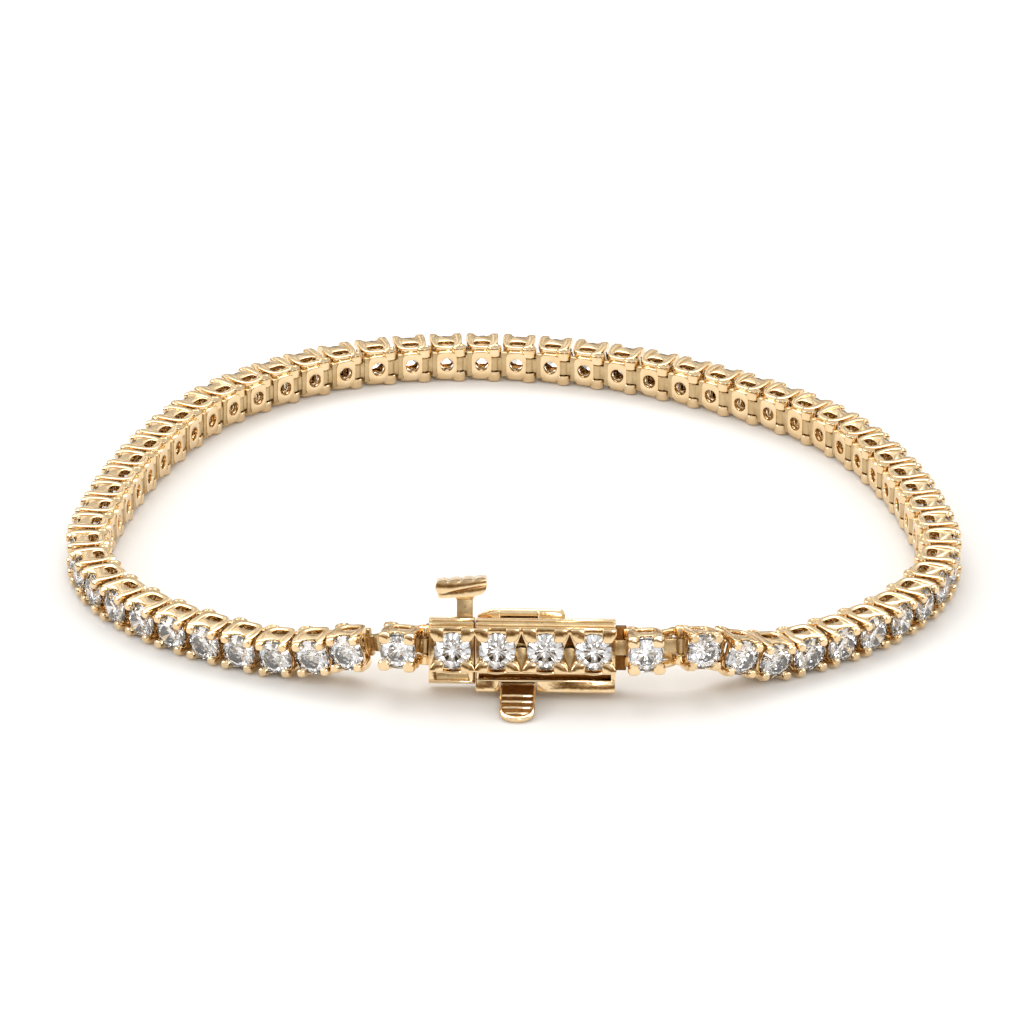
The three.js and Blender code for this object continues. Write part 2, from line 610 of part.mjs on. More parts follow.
addPiece('chain_right', chainHalf(rightStart, LINK_PITCH), GOLD);
addPiece('chain_left', chainHalf(leftStart, END_PITCH), GOLD);
addPiece('end_link_right', endLink(rightHinges), GOLD, endLinkFrame(...rightHinges));
addPiece('end_link_left', endLink(leftHinges), GOLD, endLinkFrame(...leftHinges));
addPiece('clasp_box', claspBox(), GOLD, claspFrame);
addPiece('tongue_housing', tongueHousing(), GOLD, claspFrame);
addPiece('tongue_spring', tongueSpring(), GOLD, claspFrame);
addPiece('push_piece', pushPiece(), GOLD, claspFrame);
addPiece('safety_catch', safetyCatch(), GOLD, claspFrame);
CLASP_STONES_X.forEach((x, i) => {
  addPiece(`clasp_stone_${i + 1}`, brilliant(CLASP_STONE_DIAMETER, x), DIAMOND, claspFrame);
});
addPiece('tongue_stone', brilliant(CLASP_STONE_DIAMETER, TONGUE_STONE_X), DIAMOND, claspFrame);

const bounds = new THREE.Box3().setFromObject(bracelet);
const middle = bounds.getCenter(new THREE.Vector3());
bracelet.position.set(-middle.x, -middle.y, -bounds.min.z);

export default bracelet;
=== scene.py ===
"""A yellow-gold tennis bracelet of round brilliants, lying closed on a pale floor.

Every form is drawn in millimetres and scaled to metres once, when its piece is finished.
Settings are drawn in one local frame: X runs along the chain, counter-clockwise seen from above,
Y points inwards to the wrist and Z points up. Y is 0 on the chain's line and the stones face -Y.
"""

from __future__ import annotations

import bisect
import json
import logging
import math
import random
from dataclasses import dataclass, field
from enum import Enum
from typing import Sequence

import bmesh
import bpy
from mathutils import Euler, Matrix, Vector

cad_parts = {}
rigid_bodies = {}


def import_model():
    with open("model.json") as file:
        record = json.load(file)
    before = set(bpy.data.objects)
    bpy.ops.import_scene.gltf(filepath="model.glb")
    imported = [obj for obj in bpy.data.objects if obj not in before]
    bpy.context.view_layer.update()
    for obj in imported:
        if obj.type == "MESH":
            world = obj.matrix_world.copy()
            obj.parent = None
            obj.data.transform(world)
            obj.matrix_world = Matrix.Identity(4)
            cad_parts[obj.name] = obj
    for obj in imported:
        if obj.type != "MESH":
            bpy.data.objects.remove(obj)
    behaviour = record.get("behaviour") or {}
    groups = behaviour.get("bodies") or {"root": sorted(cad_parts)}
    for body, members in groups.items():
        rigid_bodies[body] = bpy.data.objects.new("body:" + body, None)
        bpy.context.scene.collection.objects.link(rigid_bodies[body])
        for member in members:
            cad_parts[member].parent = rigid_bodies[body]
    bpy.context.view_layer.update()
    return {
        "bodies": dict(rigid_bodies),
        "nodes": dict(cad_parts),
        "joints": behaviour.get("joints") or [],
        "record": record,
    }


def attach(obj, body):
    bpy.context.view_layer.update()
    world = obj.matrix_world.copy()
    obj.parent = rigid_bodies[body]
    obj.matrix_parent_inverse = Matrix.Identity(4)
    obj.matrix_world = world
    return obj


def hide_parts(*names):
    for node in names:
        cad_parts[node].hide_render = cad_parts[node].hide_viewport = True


LOG = logging.getLogger("bracelet")

MM = 0.001
WHOLE_BODY = "bracelet"
SPRING_BODY = "spring"
CATCH_BODY = "catch"
STONE_SEED = 57

Point2 = tuple[float, float]
Point3 = tuple[float, float, float]


class Slot(Enum):
    """The record's material slots."""

    GOLD = "gold"
    DIAMOND = "diamond"


class Axis(Enum):
    """The axis that an outline is drawn along."""

    X = 0
    Y = 1
    Z = 2


def linear(hex_colour: str) -> tuple[float, float, float, float]:
    """Turns an sRGB hex colour into linear values.

    Args:
        hex_colour: Six hex digits after a hash sign.

    Returns:
        Linear red, green and blue, and an alpha of 1.
    """
    digits = hex_colour.lstrip("#")
    parts = [int(digits[i:i + 2], 16) / 255 for i in (0, 2, 4)]
    red, green, blue = (p / 12.92 if p <= 0.04045 else ((p + 0.055) / 1.055) ** 2.4 for p in parts)
    return (red, green, blue, 1.0)


def principled(name: str, values: dict) -> bpy.types.Material:
    """Starts a material with a Principled shader.

    Args:
        name: The material's name.
        values: Constants for the shader's sockets, by socket name.

    Returns:
        The material.
    """
    material = bpy.data.materials.new(name)
    material.use_nodes = True
    shader = material.node_tree.nodes["Principled BSDF"]
    for socket, value in values.items():
        shader.inputs[socket].default_value = value
    return material


def place_object(name: str, data: bpy.types.ID) -> bpy.types.Object:
    """Puts a new object into the scene, at the origin.

    Args:
        name: The object's name.
        data: Its mesh, light or camera.

    Returns:
        The object.
    """
    obj = bpy.data.objects.new(name, data)
    bpy.context.scene.collection.objects.link(obj)
    return obj


def circle(count: int, turn: float = 0.0) -> list[Point2]:
    """Points of a unit circle.

    Args:
        count: The count of points.
        turn: How far the first one is turned, as a share of a step.

    Returns:
        The points.
    """
    angles = [2 * math.pi * (k + turn) / count for k in range(count)]
    return [(math.cos(a), math.sin(a)) for a in angles]


def rounded_square(count: int, power: float) -> list[Point2]:
    """Points of a square with rounded corners, from -1 to 1 each way.

    Args:
        count: The count of points.
        power: 2 gives a circle, and more gives sharper corners.

    Returns:
        The points.
    """
    points = []
    for c, s in circle(count):
        reach = 1 / (abs(c) ** power + abs(s) ** power) ** (1 / power)
        points.append((c * reach, s * reach))
    return points


def add_node(tree: bpy.types.NodeTree, kind: str, settings: dict | None = None,
             links: dict | None = None) -> bpy.types.Node:
    """Adds a node with its settings, values and links.

    Args:
        tree: The tree that gets the node.
        kind: The node's type name.
        settings: Attributes of the node, by name.
        links: Values or output sockets for the node's inputs, by input name or index.

    Returns:
        The new node.
    """
    node = tree.nodes.new(kind)
    for key, value in (settings or {}).items():
        setattr(node, key, value)
    for key, value in (links or {}).items():
        socket = node.inputs[key]
        if isinstance(value, bpy.types.NodeSocket):
            tree.links.new(value, socket)
        else:
            socket.default_value = value
    return node


# Finishes


@dataclass(frozen=True)
class CastGold:
    """14 carat yellow gold, lost-wax cast and tumble polished.

    Polished gold is a mirror with a warm tint. Tumbling leaves faint waves and fine scratches,
    which spread its highlights a little.
    """

    name: str = "polished_gold"
    colour: str = "#F8E3BE"
    deep_colour: str = "#E6C28E"
    roughness: float = 0.13
    roughness_spread: float = 0.10
    wave_mm: float = 0.9
    scratch_mm: float = 0.18
    wave_height_mm: float = 0.02
    grain_height_mm: float = 0.006
    bump_strength: float = 0.6

    def build(self) -> bpy.types.Material:
        """Builds the material.

        Returns:
            The material.
        """
        material = principled(self.name, {"Metallic": 1.0})
        tree = material.node_tree
        shader = tree.nodes["Principled BSDF"]
        place = add_node(tree, "ShaderNodeTexCoord")
        wave = add_node(tree, "ShaderNodeTexNoise", links={
            "Vector": place.outputs["Object"], "Scale": 1 / (self.wave_mm * MM), "Detail": 2.0,
        })
        scratch = add_node(tree, "ShaderNodeTexNoise", links={
            "Vector": place.outputs["Object"], "Scale": 1 / (self.scratch_mm * MM), "Detail": 3.0,
        })
        rough = add_node(tree, "ShaderNodeMapRange", links={
            "Value": scratch.outputs["Fac"], "From Min": 0.35, "From Max": 0.75,
            "To Min": self.roughness - self.roughness_spread / 2,
            "To Max": self.roughness + self.roughness_spread / 2,
        })
        tint = add_node(tree, "ShaderNodeMix", {"data_type": "RGBA"}, {
            "Factor": wave.outputs["Fac"], "A": linear(self.deep_colour), "B": linear(self.colour),
        })
        bump = add_node(tree, "ShaderNodeBump", links={
            "Height": wave.outputs["Fac"], "Distance": self.wave_height_mm * MM,
            "Strength": self.bump_strength,
        })
        fine = add_node(tree, "ShaderNodeBump", links={
            "Height": scratch.outputs["Fac"], "Distance": self.grain_height_mm * MM,
            "Strength": self.bump_strength, "Normal": bump.outputs["Normal"],
        })
        tree.links.new(tint.outputs["Result"], shader.inputs["Base Color"])
        tree.links.new(rough.outputs["Result"], shader.inputs["Roughness"])
        tree.links.new(fine.outputs["Normal"], shader.inputs["Normal"])
        return material


@dataclass(frozen=True)
class CutDiamond:
    """Colourless diamond, cut as a round brilliant with polished flat facets.

    Its high index bends light so far that each facet flashes either white or dark.
    """

    name: str = "brilliant_diamond"
    colour: str = "#FBFCFF"
    index: float = 2.417

    def build(self) -> bpy.types.Material:
        """Builds the material.

        Returns:
            The material.
        """
        return principled(self.name, {
            "Base Color": linear(self.colour), "Roughness": 0.0, "IOR": self.index,
            "Transmission Weight": 1.0,
        })


@dataclass(frozen=True)
class PaperFloor:
    """White background paper, matt, with a faint warm cast."""

    name: str = "white_paper"
    colour: str = "#E4E2DF"
    roughness: float = 0.85

    def build(self) -> bpy.types.Material:
        """Builds the material.

        Returns:
            The material.
        """
        return principled(self.name, {
            "Base Color": linear(self.colour), "Roughness": self.roughness,
        })


@dataclass(frozen=True)
class Finishes:
    """The built materials that the pieces take."""

    gold: bpy.types.Material
    satin_gold: bpy.types.Material
    dull_gold: bpy.types.Material
    diamond: bpy.types.Material
    floor: bpy.types.Material

    @classmethod
    def build(cls) -> "Finishes":
        """Builds every finish once.

        Returns:
            The finishes.
        """
        # Rolled and brushed, so it shines softly and mirrors nothing sharply. The spring has this
        # finish; on the links' tongues, the coves, the keels, the lug and the housing's panel its
        # darker colour is painted shade.
        satin = CastGold(
            name="rolled_spring_and_shade_gold", colour="#D8C29C", deep_colour="#B89A68", roughness=0.34,
            roughness_spread=0.14,
        )
        # Painted shade for recesses, seams and gaps: brown, dull and finely grained.
        dull = CastGold(
            name="painted_shade_cast_gold", colour="#946633", deep_colour="#523215", roughness=0.42,
            roughness_spread=0.2, wave_mm=0.35,
        )
        return cls(
            gold=CastGold().build(),
            satin_gold=satin.build(),
            dull_gold=dull.build(),
            diamond=CutDiamond().build(),
            floor=PaperFloor().build(),
        )


# Forms


class Form:
    """One closed form, in millimetres."""

    def __init__(self) -> None:
        """Starts an empty form."""
        self.mesh = bmesh.new()

    @classmethod
    def skin(cls, rings: Sequence[Sequence[Vector]], closed: bool = False) -> "Form":
        """Covers a row of rings of equal length.

        Args:
            rings: The rings, in order.
            closed: Joins the last ring to the first, in place of two end caps.

        Returns:
            The closed form.
        """
        form = cls()
        rows = [[form.mesh.verts.new(point) for point in ring] for ring in rings]
        count = len(rows[0])
        pairs = list(zip(rows, rows[1:]))
        if closed:
            pairs.append((rows[-1], rows[0]))
        for first, second in pairs:
            for i in range(count):
                following = (i + 1) % count
                form.mesh.faces.new((first[i], first[following], second[following], second[i]))
        if not closed:
            form.mesh.faces.new(list(reversed(rows[0])))
            form.mesh.faces.new(rows[-1])
        bmesh.ops.recalc_face_normals(form.mesh, faces=form.mesh.faces)
        return form

    @classmethod
    def prism(cls, outline: Sequence[Point2], axis: Axis, start: float, end: float) -> "Form":
        """Draws an outline along an axis.

        Args:
            outline: Points on the other two axes, in X, Y, Z order.
            axis: The axis to draw along.
            start: Where the form starts.
            end: Where it ends.

        Returns:
            The closed form.
        """
        rings = []
        for along in (start, end):
            ring = []
            for point in outline:
                values = list(point)
                values.insert(axis.value, along)
                ring.append(Vector(values))
            rings.append(ring)
        return cls.skin(rings)

    @classmethod
    def block(cls, x: Point2, y: Point2, z: Point2) -> "Form":
        """A block between two limits on each axis."""
        outline = [(x[0], y[0]), (x[1], y[0]), (x[1], y[1]), (x[0], y[1])]
        return cls.prism(outline, Axis.Z, z[0], z[1])

    @classmethod
    def bar(cls, path: Sequence[Vector], widths: Sequence[float], heights: Sequence[float],
            up: Vector = Vector((0, 0, 1)), corners: Sequence[Point2] | None = None) -> "Form":
        """Sweeps a section along a path.

        Args:
            path: The points of the path.
            widths: Full width at each point, across the path.
            heights: Full height at each point, along up.
            up: The section's upward direction.
            corners: The section's outline, from -0.5 to 0.5 each way. A rectangle if left out.

        Returns:
            The closed form.
        """
        section = corners or [(-0.5, -0.5), (0.5, -0.5), (0.5, 0.5), (-0.5, 0.5)]
        rings = []
        for i, point in enumerate(path):
            ahead = (path[min(i + 1, len(path) - 1)] - path[max(i - 1, 0)]).normalized()
            side = ahead.cross(up).normalized()
            top = side.cross(ahead).normalized()
            rings.append([
                point + side * (a * widths[i]) + top * (b * heights[i]) for a, b in section
            ])
        return cls.skin(rings)

    @classmethod
    def turned(cls, outline: Sequence[Point2], sides: int, axis: Axis,
               centre: Point3 = (0, 0, 0), stretch: Point2 = (1, 1)) -> "Form":
        """Turns an outline of (radius, height) points about an axis.

        Args:
            outline: From one end to the other.
            sides: The count of sides.
            axis: The axis to turn about.
            centre: Where height 0 stands.
            stretch: Scale of the two axes across the turning axis, in X, Y, Z order.

        Returns:
            The closed form.
        """
        rings = []
        for radius, height in outline:
            ring = []
            for c, s in circle(sides, 0.5):
                values = [radius * stretch[0] * c, radius * stretch[1] * s]
                values.insert(axis.value, height)
                ring.append(Vector(values) + Vector(centre))
            rings.append(ring)
        return cls.skin(rings)

    @classmethod
    def rod(cls, points: Sequence[Point3], steps: int, size: Point2,
            up: Vector = Vector((0, 0, 1))) -> "Form":
        """Sweeps one rectangle along a smooth line.

        Args:
            points: Points of the line.
            steps: Steps between two of them.
            size: Full width across the line, and full height along up.
            up: The rectangle's upward direction.

        Returns:
            The closed form.
        """
        path = smooth_path(points, steps)
        return cls.bar(path, [size[0]] * len(path), [size[1]] * len(path), up)

    def moved(self, matrix: Matrix) -> "Form":
        """Places the form.

        Args:
            matrix: The move. A mirroring one has its faces turned outwards again.

        Returns:
            The form itself.
        """
        self.mesh.transform(matrix)
        if matrix.determinant() < 0:
            bmesh.ops.recalc_face_normals(self.mesh, faces=self.mesh.faces)
        return self

    def softened(self, width: float, segments: int = 2, angle: float = 28) -> "Form":
        """Rounds the form's edges.

        Args:
            width: How far the rounding reaches from each edge.
            segments: Faces across the rounding.
            angle: Only edges that turn more than this, in degrees, are rounded.

        Returns:
            The form itself.
        """
        limit = math.radians(angle)
        sharp = [e for e in self.mesh.edges if e.is_manifold and e.calc_face_angle(0) > limit]
        bmesh.ops.bevel(
            self.mesh, geom=sharp, offset=width, segments=segments, profile=0.5, affect="EDGES",
            clamp_overlap=True,
        )
        return self

    def cut(self, *tools: "Form") -> "Form":
        """Takes other forms out of this one.

        Args:
            tools: The forms to take out.

        Returns:
            What is left, as a new form.
        """
        body = self._as_object()
        cutters = []
        for tool in tools:
            cutter = tool._as_object()
            cutters.append(cutter)
            modifier = body.modifiers.new("cut", "BOOLEAN")
            modifier.operation = "DIFFERENCE"
            modifier.solver = "EXACT"
            modifier.object = cutter
        bpy.context.view_layer.update()
        graph = bpy.context.evaluated_depsgraph_get()
        result = bpy.data.meshes.new_from_object(body.evaluated_get(graph))
        left = Form()
        left.mesh.from_mesh(result)
        bmesh.ops.remove_doubles(left.mesh, verts=left.mesh.verts, dist=1e-4)
        bmesh.ops.dissolve_limit(
            left.mesh, angle_limit=math.radians(1), verts=left.mesh.verts, edges=left.mesh.edges,
        )
        for spare in (body, *cutters):
            bpy.data.objects.remove(spare)
        return left

    def _as_object(self) -> bpy.types.Object:
        """Makes a scene object of the form, for a boolean.

        Returns:
            The object.
        """
        mesh = bpy.data.meshes.new("form")
        self.mesh.to_mesh(mesh)
        return place_object("form", mesh)


class Casting:
    """Gathers forms into one piece."""

    def __init__(self) -> None:
        """Starts an empty casting."""
        self.mesh = bmesh.new()

    def add(self, *forms: Form) -> "Casting":
        """Adds forms, as they are, and returns the casting.

        Args:
            forms: The forms to add.

        Returns:
            The casting itself.
        """
        for form in forms:
            carrier = bpy.data.meshes.new("carrier")
            form.mesh.to_mesh(carrier)
            self.mesh.from_mesh(carrier)
            bpy.data.meshes.remove(carrier)
        return self

    def to_object(self, name: str, material: bpy.types.Material, frame: Matrix = Matrix(),
                  smooth_angle: float = 26) -> bpy.types.Object:
        """Makes the finished object, in metres, at the origin.

        Args:
            name: The piece's name.
            material: Its finish.
            frame: Where the casting's own frame lies, in millimetres.
            smooth_angle: Edges that turn more than this, in degrees, stay sharp. 0 keeps all flat.

        Returns:
            The object.
        """
        mesh = bpy.data.meshes.new(name)
        self.mesh.to_mesh(mesh)
        mesh.transform(Matrix.Scale(MM, 4) @ frame)
        mesh.materials.append(material)
        if smooth_angle > 0:
            mesh.shade_smooth()
            mesh.set_sharp_from_angle(angle=math.radians(smooth_angle))
        return place_object(name, mesh)


def smooth_path(points: Sequence[Point3], steps: int) -> list[Vector]:
    """Runs a smooth open line through points.

    Args:
        points: The points.
        steps: Steps between two of them.

    Returns:
        The line's points.
    """
    knots = [Vector(p) for p in points]
    knots = [knots[0] * 2 - knots[1], *knots, knots[-1] * 2 - knots[-2]]
    line = []
    for a, b, c, d in zip(knots, knots[1:], knots[2:], knots[3:]):
        for k in range(steps):
            t = k / steps
            line.append(0.5 * (2 * b + (c - a) * t + (2 * a - 5 * b + 4 * c - d) * t * t
                               + (3 * b - a - 3 * c + d) * t ** 3))
    line.append(knots[-2])
    return line


# The chain's line


@dataclass(frozen=True)
class ChainSizes:
    """Sizes of the chain's layout, in millimetres."""

    links_each_side: int = 29
    link_pitch: float = 2.7
    end_pitch: float = 3.6
    knuckle_offset: float = 0.95
    end_reach: float = 1.55
    clasp_stone_diameter: float = 2.65
    clasp_pitch: float = 3.42
    box_length: float = 9.9
    lug_length: float = 1.1
    housing_length: float = 3.24
    mouth_gap: float = 0.1
    housing_lug: float = 0.3
    clasp_tilt: float = math.radians(15)
    end_tilt_share: float = 0.7
    # Past an end link the chain keeps the clasp's height over the hold, and comes down over the
    # fall.
    left_hold: float = -1.0
    left_fall: float = 12.0
    right_hold: float = 2.6
    right_fall: float = 8.0
    # The lean fades faster than the height, as this power of the height's share.
    tilt_power: int = 3
    clasp_height: float = 3.222824015
    chain_height: float = 1.45
    # The loop's plan, counter-clockwise seen from above, from the clasp's middle stone.
    route: tuple[Point2, ...] = (
        (2.4, -27.9), (9.4, -28.0), (12.2, -27.7), (14.6, -26.82), (17.0, -25.62), (21.65, -22.97),
        (25.73, -19.52), (28.63, -15.05), (29.84, -9.88), (29.28, -4.57), (27.17, 3.19),
        (23.48, 10.27), (17.67, 15.78), (8.4, 21.09), (-2.05, 23.25), (-12.54, 21.57),
        (-21.06, 15.28), (-26.09, 5.88), (-28.97, -4.44), (-29.49, -9.75), (-28.0, -14.83),
        (-24.76, -19.06), (-20.5, -22.29), (-15.69, -24.63), (-10.61, -26.32), (-7.6, -27.6),
        (-4.0, -27.8),
    )
    route_divisions: int = 4000

    @property
    def box_hinge_x(self) -> float:
        """The hinge pin at the box's end."""
        return self.box_length / 2 + self.lug_length

    @property
    def housing_right(self) -> float:
        """The housing's end beside the box."""
        return -self.box_length / 2 - self.mouth_gap

    @property
    def housing_left(self) -> float:
        """The housing's outer end."""
        return self.housing_right - self.housing_length

    @property
    def housing_hinge_x(self) -> float:
        """The hinge pin at the housing's end."""
        return self.housing_left - self.housing_lug

    @property
    def tongue_stone_x(self) -> float:
        """The stone on the housing."""
        return (self.housing_left + self.housing_right) / 2 + 0.08

    @property
    def right_end_x(self) -> float:
        """The right end link's middle."""
        return self.box_hinge_x + self.knuckle_offset

    @property
    def left_end_x(self) -> float:
        """The left end link's middle."""
        return self.housing_hinge_x - self.end_reach

    @property
    def loop_length(self) -> float:
        """The closed loop's real length."""
        span = self.right_end_x - self.left_end_x
        return span + 2 * self.end_pitch + (2 * self.links_each_side - 1) * self.link_pitch


class ChainLine:
    """Finds where each setting lies."""

    def __init__(self, sizes: ChainSizes) -> None:
        """Measures the route.

        Args:
            sizes: The layout's sizes.
        """
        self.sizes = sizes
        self.shift = Vector((0, 0, 0))
        count = sizes.route_divisions
        self._points = [self._drawn(i / count) for i in range(count + 1)]
        self._lengths = [0.0]
        for first, second in zip(self._points, self._points[1:]):
            self._lengths.append(self._lengths[-1] + (second - first).length)
        self.scale = sizes.loop_length / self._lengths[-1]
        self.clasp = self._clasp_frame()

    def _drawn(self, share: float) -> Vector:
        """A point of the unscaled route, by its share of the list.

        Args:
            share: How far along the route, from 0 to 1.

        Returns:
            The point.
        """
        route = self.sizes.route
        count = len(route)
        place = share * count
        whole = int(math.floor(place))
        t = place - whole
        p0, p1, p2, p3 = (Vector(route[(whole + k) % count]) for k in (-1, 0, 1, 2))
        d0, d1, d2 = (math.sqrt((b - a).length) for a, b in ((p0, p1), (p1, p2), (p2, p3)))
        t1 = ((p1 - p0) / d0 - (p2 - p0) / (d0 + d1) + (p2 - p1) / d1) * d1
        t2 = ((p2 - p1) / d1 - (p3 - p1) / (d1 + d2) + (p3 - p2) / d2) * d1
        c2 = -3 * p1 + 3 * p2 - 2 * t1 - t2
        c3 = 2 * p1 - 2 * p2 + t1 + t2
        return p1 + t1 * t + c2 * t * t + c3 * t ** 3

    def lifted(self, station: float) -> float:
        """How much of the clasp's height a setting has, from 1 to 0.

        Args:
            station: The distance from the clasp's middle stone, along the chain.

        Returns:
            The share.
        """
        s = self.sizes
        from_right = (station - s.right_end_x - s.right_hold) / s.right_fall
        from_left = (s.loop_length + s.left_end_x - s.left_hold - station) / s.left_fall
        t = min(1.0, max(0.0, min(from_right, from_left)))
        return 1 - t * t * (3 - 2 * t)

    def point(self, station: float) -> Vector:
        """The chain's line at a distance from the clasp's middle stone.

        Args:
            station: The distance from the clasp's middle stone, along the chain.

        Returns:
            The point.
        """
        s = self.sizes
        wrapped = station % s.loop_length
        target = wrapped / s.loop_length * self._lengths[-1]
        i = max(0, bisect.bisect_right(self._lengths, target) - 1)
        i = min(i, len(self._points) - 2)
        step = self._lengths[i + 1] - self._lengths[i]
        share = (target - self._lengths[i]) / step
        flat = self._points[i].lerp(self._points[i + 1], share) * self.scale
        height = s.chain_height + (s.clasp_height - s.chain_height) * self.lifted(wrapped)
        return Vector((flat.x, flat.y, height))

    def place(self, station: float) -> Matrix:
        """The frame of a setting at a distance from the clasp's middle stone.

        Args:
            station: The distance from the clasp's middle stone, along the chain.

        Returns:
            The frame.
        """
        s = self.sizes
        step = s.link_pitch / 2
        along = (self.point(station + step) - self.point(station - step)).normalized()
        tilt = s.clasp_tilt * self.lifted(station % s.loop_length) ** s.tilt_power
        return self._frame(self.point(station), along, tilt)

    def _frame(self, origin: Vector, along: Vector, tilt: float) -> Matrix:
        """A frame with X along the chain and Z up, leaning back by a tilt.

        Args:
            origin: Where the frame stands, before the line's shift.
            along: The chain's direction.
            tilt: The lean, as an angle.

        Returns:
            The frame.
        """
        inwards = Vector((-along.y, along.x, 0)).normalized()
        up = along.cross(inwards)
        turned = Matrix((along, inwards, up)).transposed().to_4x4()
        return Matrix.Translation(origin + self.shift) @ turned @ Matrix.Rotation(-tilt, 4, "X")

    def _clasp_frame(self) -> Matrix:
        """The rigid clasp's frame.

        Returns:
            The frame.
        """
        s = self.sizes
        left = self.point(s.left_end_x)
        along = self.point(s.right_end_x) - left
        along.z = 0
        along.normalize()
        origin = left - along * s.left_end_x
        origin.z = self.point(0).z
        return self._frame(origin, along, s.clasp_tilt)

    def settle(self, local: Vector, measured: Vector) -> None:
        """Shifts the line so that a point of the clasp's frame lies where it was measured.

        Args:
            local: The point in the clasp's frame.
            measured: The same point in the part's frame, in millimetres.
        """
        self.shift = measured - self.clasp @ local
        self.clasp = Matrix.Translation(self.shift) @ self.clasp

    def end_link(self, knuckle: Vector, eye: Vector) -> Matrix:
        """The frame of an end link that hangs between two pins.

        Args:
            knuckle: Its own pin.
            eye: Its neighbour's pin.

        Returns:
            The frame.
        """
        s = self.sizes
        along = (eye - knuckle).normalized()
        origin = knuckle + along * s.knuckle_offset - self.shift
        return self._frame(origin, along, s.clasp_tilt * s.end_tilt_share)

    @property
    def right_start(self) -> float:
        """The first link's station."""
        return self.sizes.right_end_x + self.sizes.end_pitch

    @property
    def left_start(self) -> float:
        """The first link of the second half."""
        return self.right_start + self.sizes.links_each_side * self.sizes.link_pitch

    def half(self, start: float) -> list[Matrix]:
        """The frames of one half's links."""
        s = self.sizes
        return [self.place(start + i * s.link_pitch) for i in range(s.links_each_side)]


# Stones


@dataclass
class Brilliant:
    """A round brilliant of 57 facets, facing -Y, with its girdle plane at a stated depth."""

    diameter: float = 2.6
    table_share: float = 0.56
    crown: float = 0.4
    girdle: float = 0.05
    pavilion_share: float = 0.43
    lower_half_share: float = 0.78
    star_share: float = 0.5
    depth: float = -2.05

    def form(self) -> Form:
        """Builds the stone from flat facets.

        Returns:
            The stone.
        """
        radius = self.diameter / 2
        table = radius * self.table_share
        top = self.depth - self.crown
        edge = self.depth - self.girdle / 2
        low = self.depth + self.girdle / 2
        culet = self.depth + self.diameter * self.pavilion_share

        form = Form()
        new = form.mesh.verts.new

        def ring(r: float, y: float, count: int, turn: float) -> list[bmesh.types.BMVert]:
            """One ring of corners."""
            return [new(Vector((r * c, y, r * s))) for c, s in circle(count, turn)]

        table_v = ring(table, top, 8, 0.5)
        star_radius = table + (radius - table) * (1 - self.star_share) * 0.94
        star_y = top + (edge - top) * (star_radius - table) / (radius - table) * 0.90
        star_v = ring(star_radius, star_y, 8, 0)
        upper_v = ring(radius, edge, 16, 0)
        lower_v = ring(radius, low, 16, 0)
        open_share = 1 - self.lower_half_share
        half_v = ring(radius * open_share, culet - (culet - low) * open_share * 0.97, 8, 0.5)
        culet_v = new(Vector((0, culet, 0)))
        face = form.mesh.faces.new
        face(table_v)
        for k in range(8):
            before, after = table_v[k - 1], table_v[k]
            face((before, after, star_v[k]))
            following = star_v[(k + 1) % 8]
            corner = upper_v[(2 * k + 1) % 16]
            face((after, star_v[k], corner, following))
            face((star_v[k], upper_v[2 * k], corner))
            face((star_v[k], upper_v[(2 * k - 1) % 16], upper_v[2 * k]))
            low_corner = lower_v[(2 * k + 1) % 16]
            face((lower_v[2 * k], low_corner, half_v[k]))
            face((low_corner, lower_v[(2 * k + 2) % 16], half_v[k]))
            face((culet_v, half_v[k - 1], lower_v[2 * k], half_v[k]))
        for k in range(16):
            following = (k + 1) % 16
            face((upper_v[k], upper_v[following], lower_v[following], lower_v[k]))
        bmesh.ops.recalc_face_normals(form.mesh, faces=form.mesh.faces)
        return form


# Links


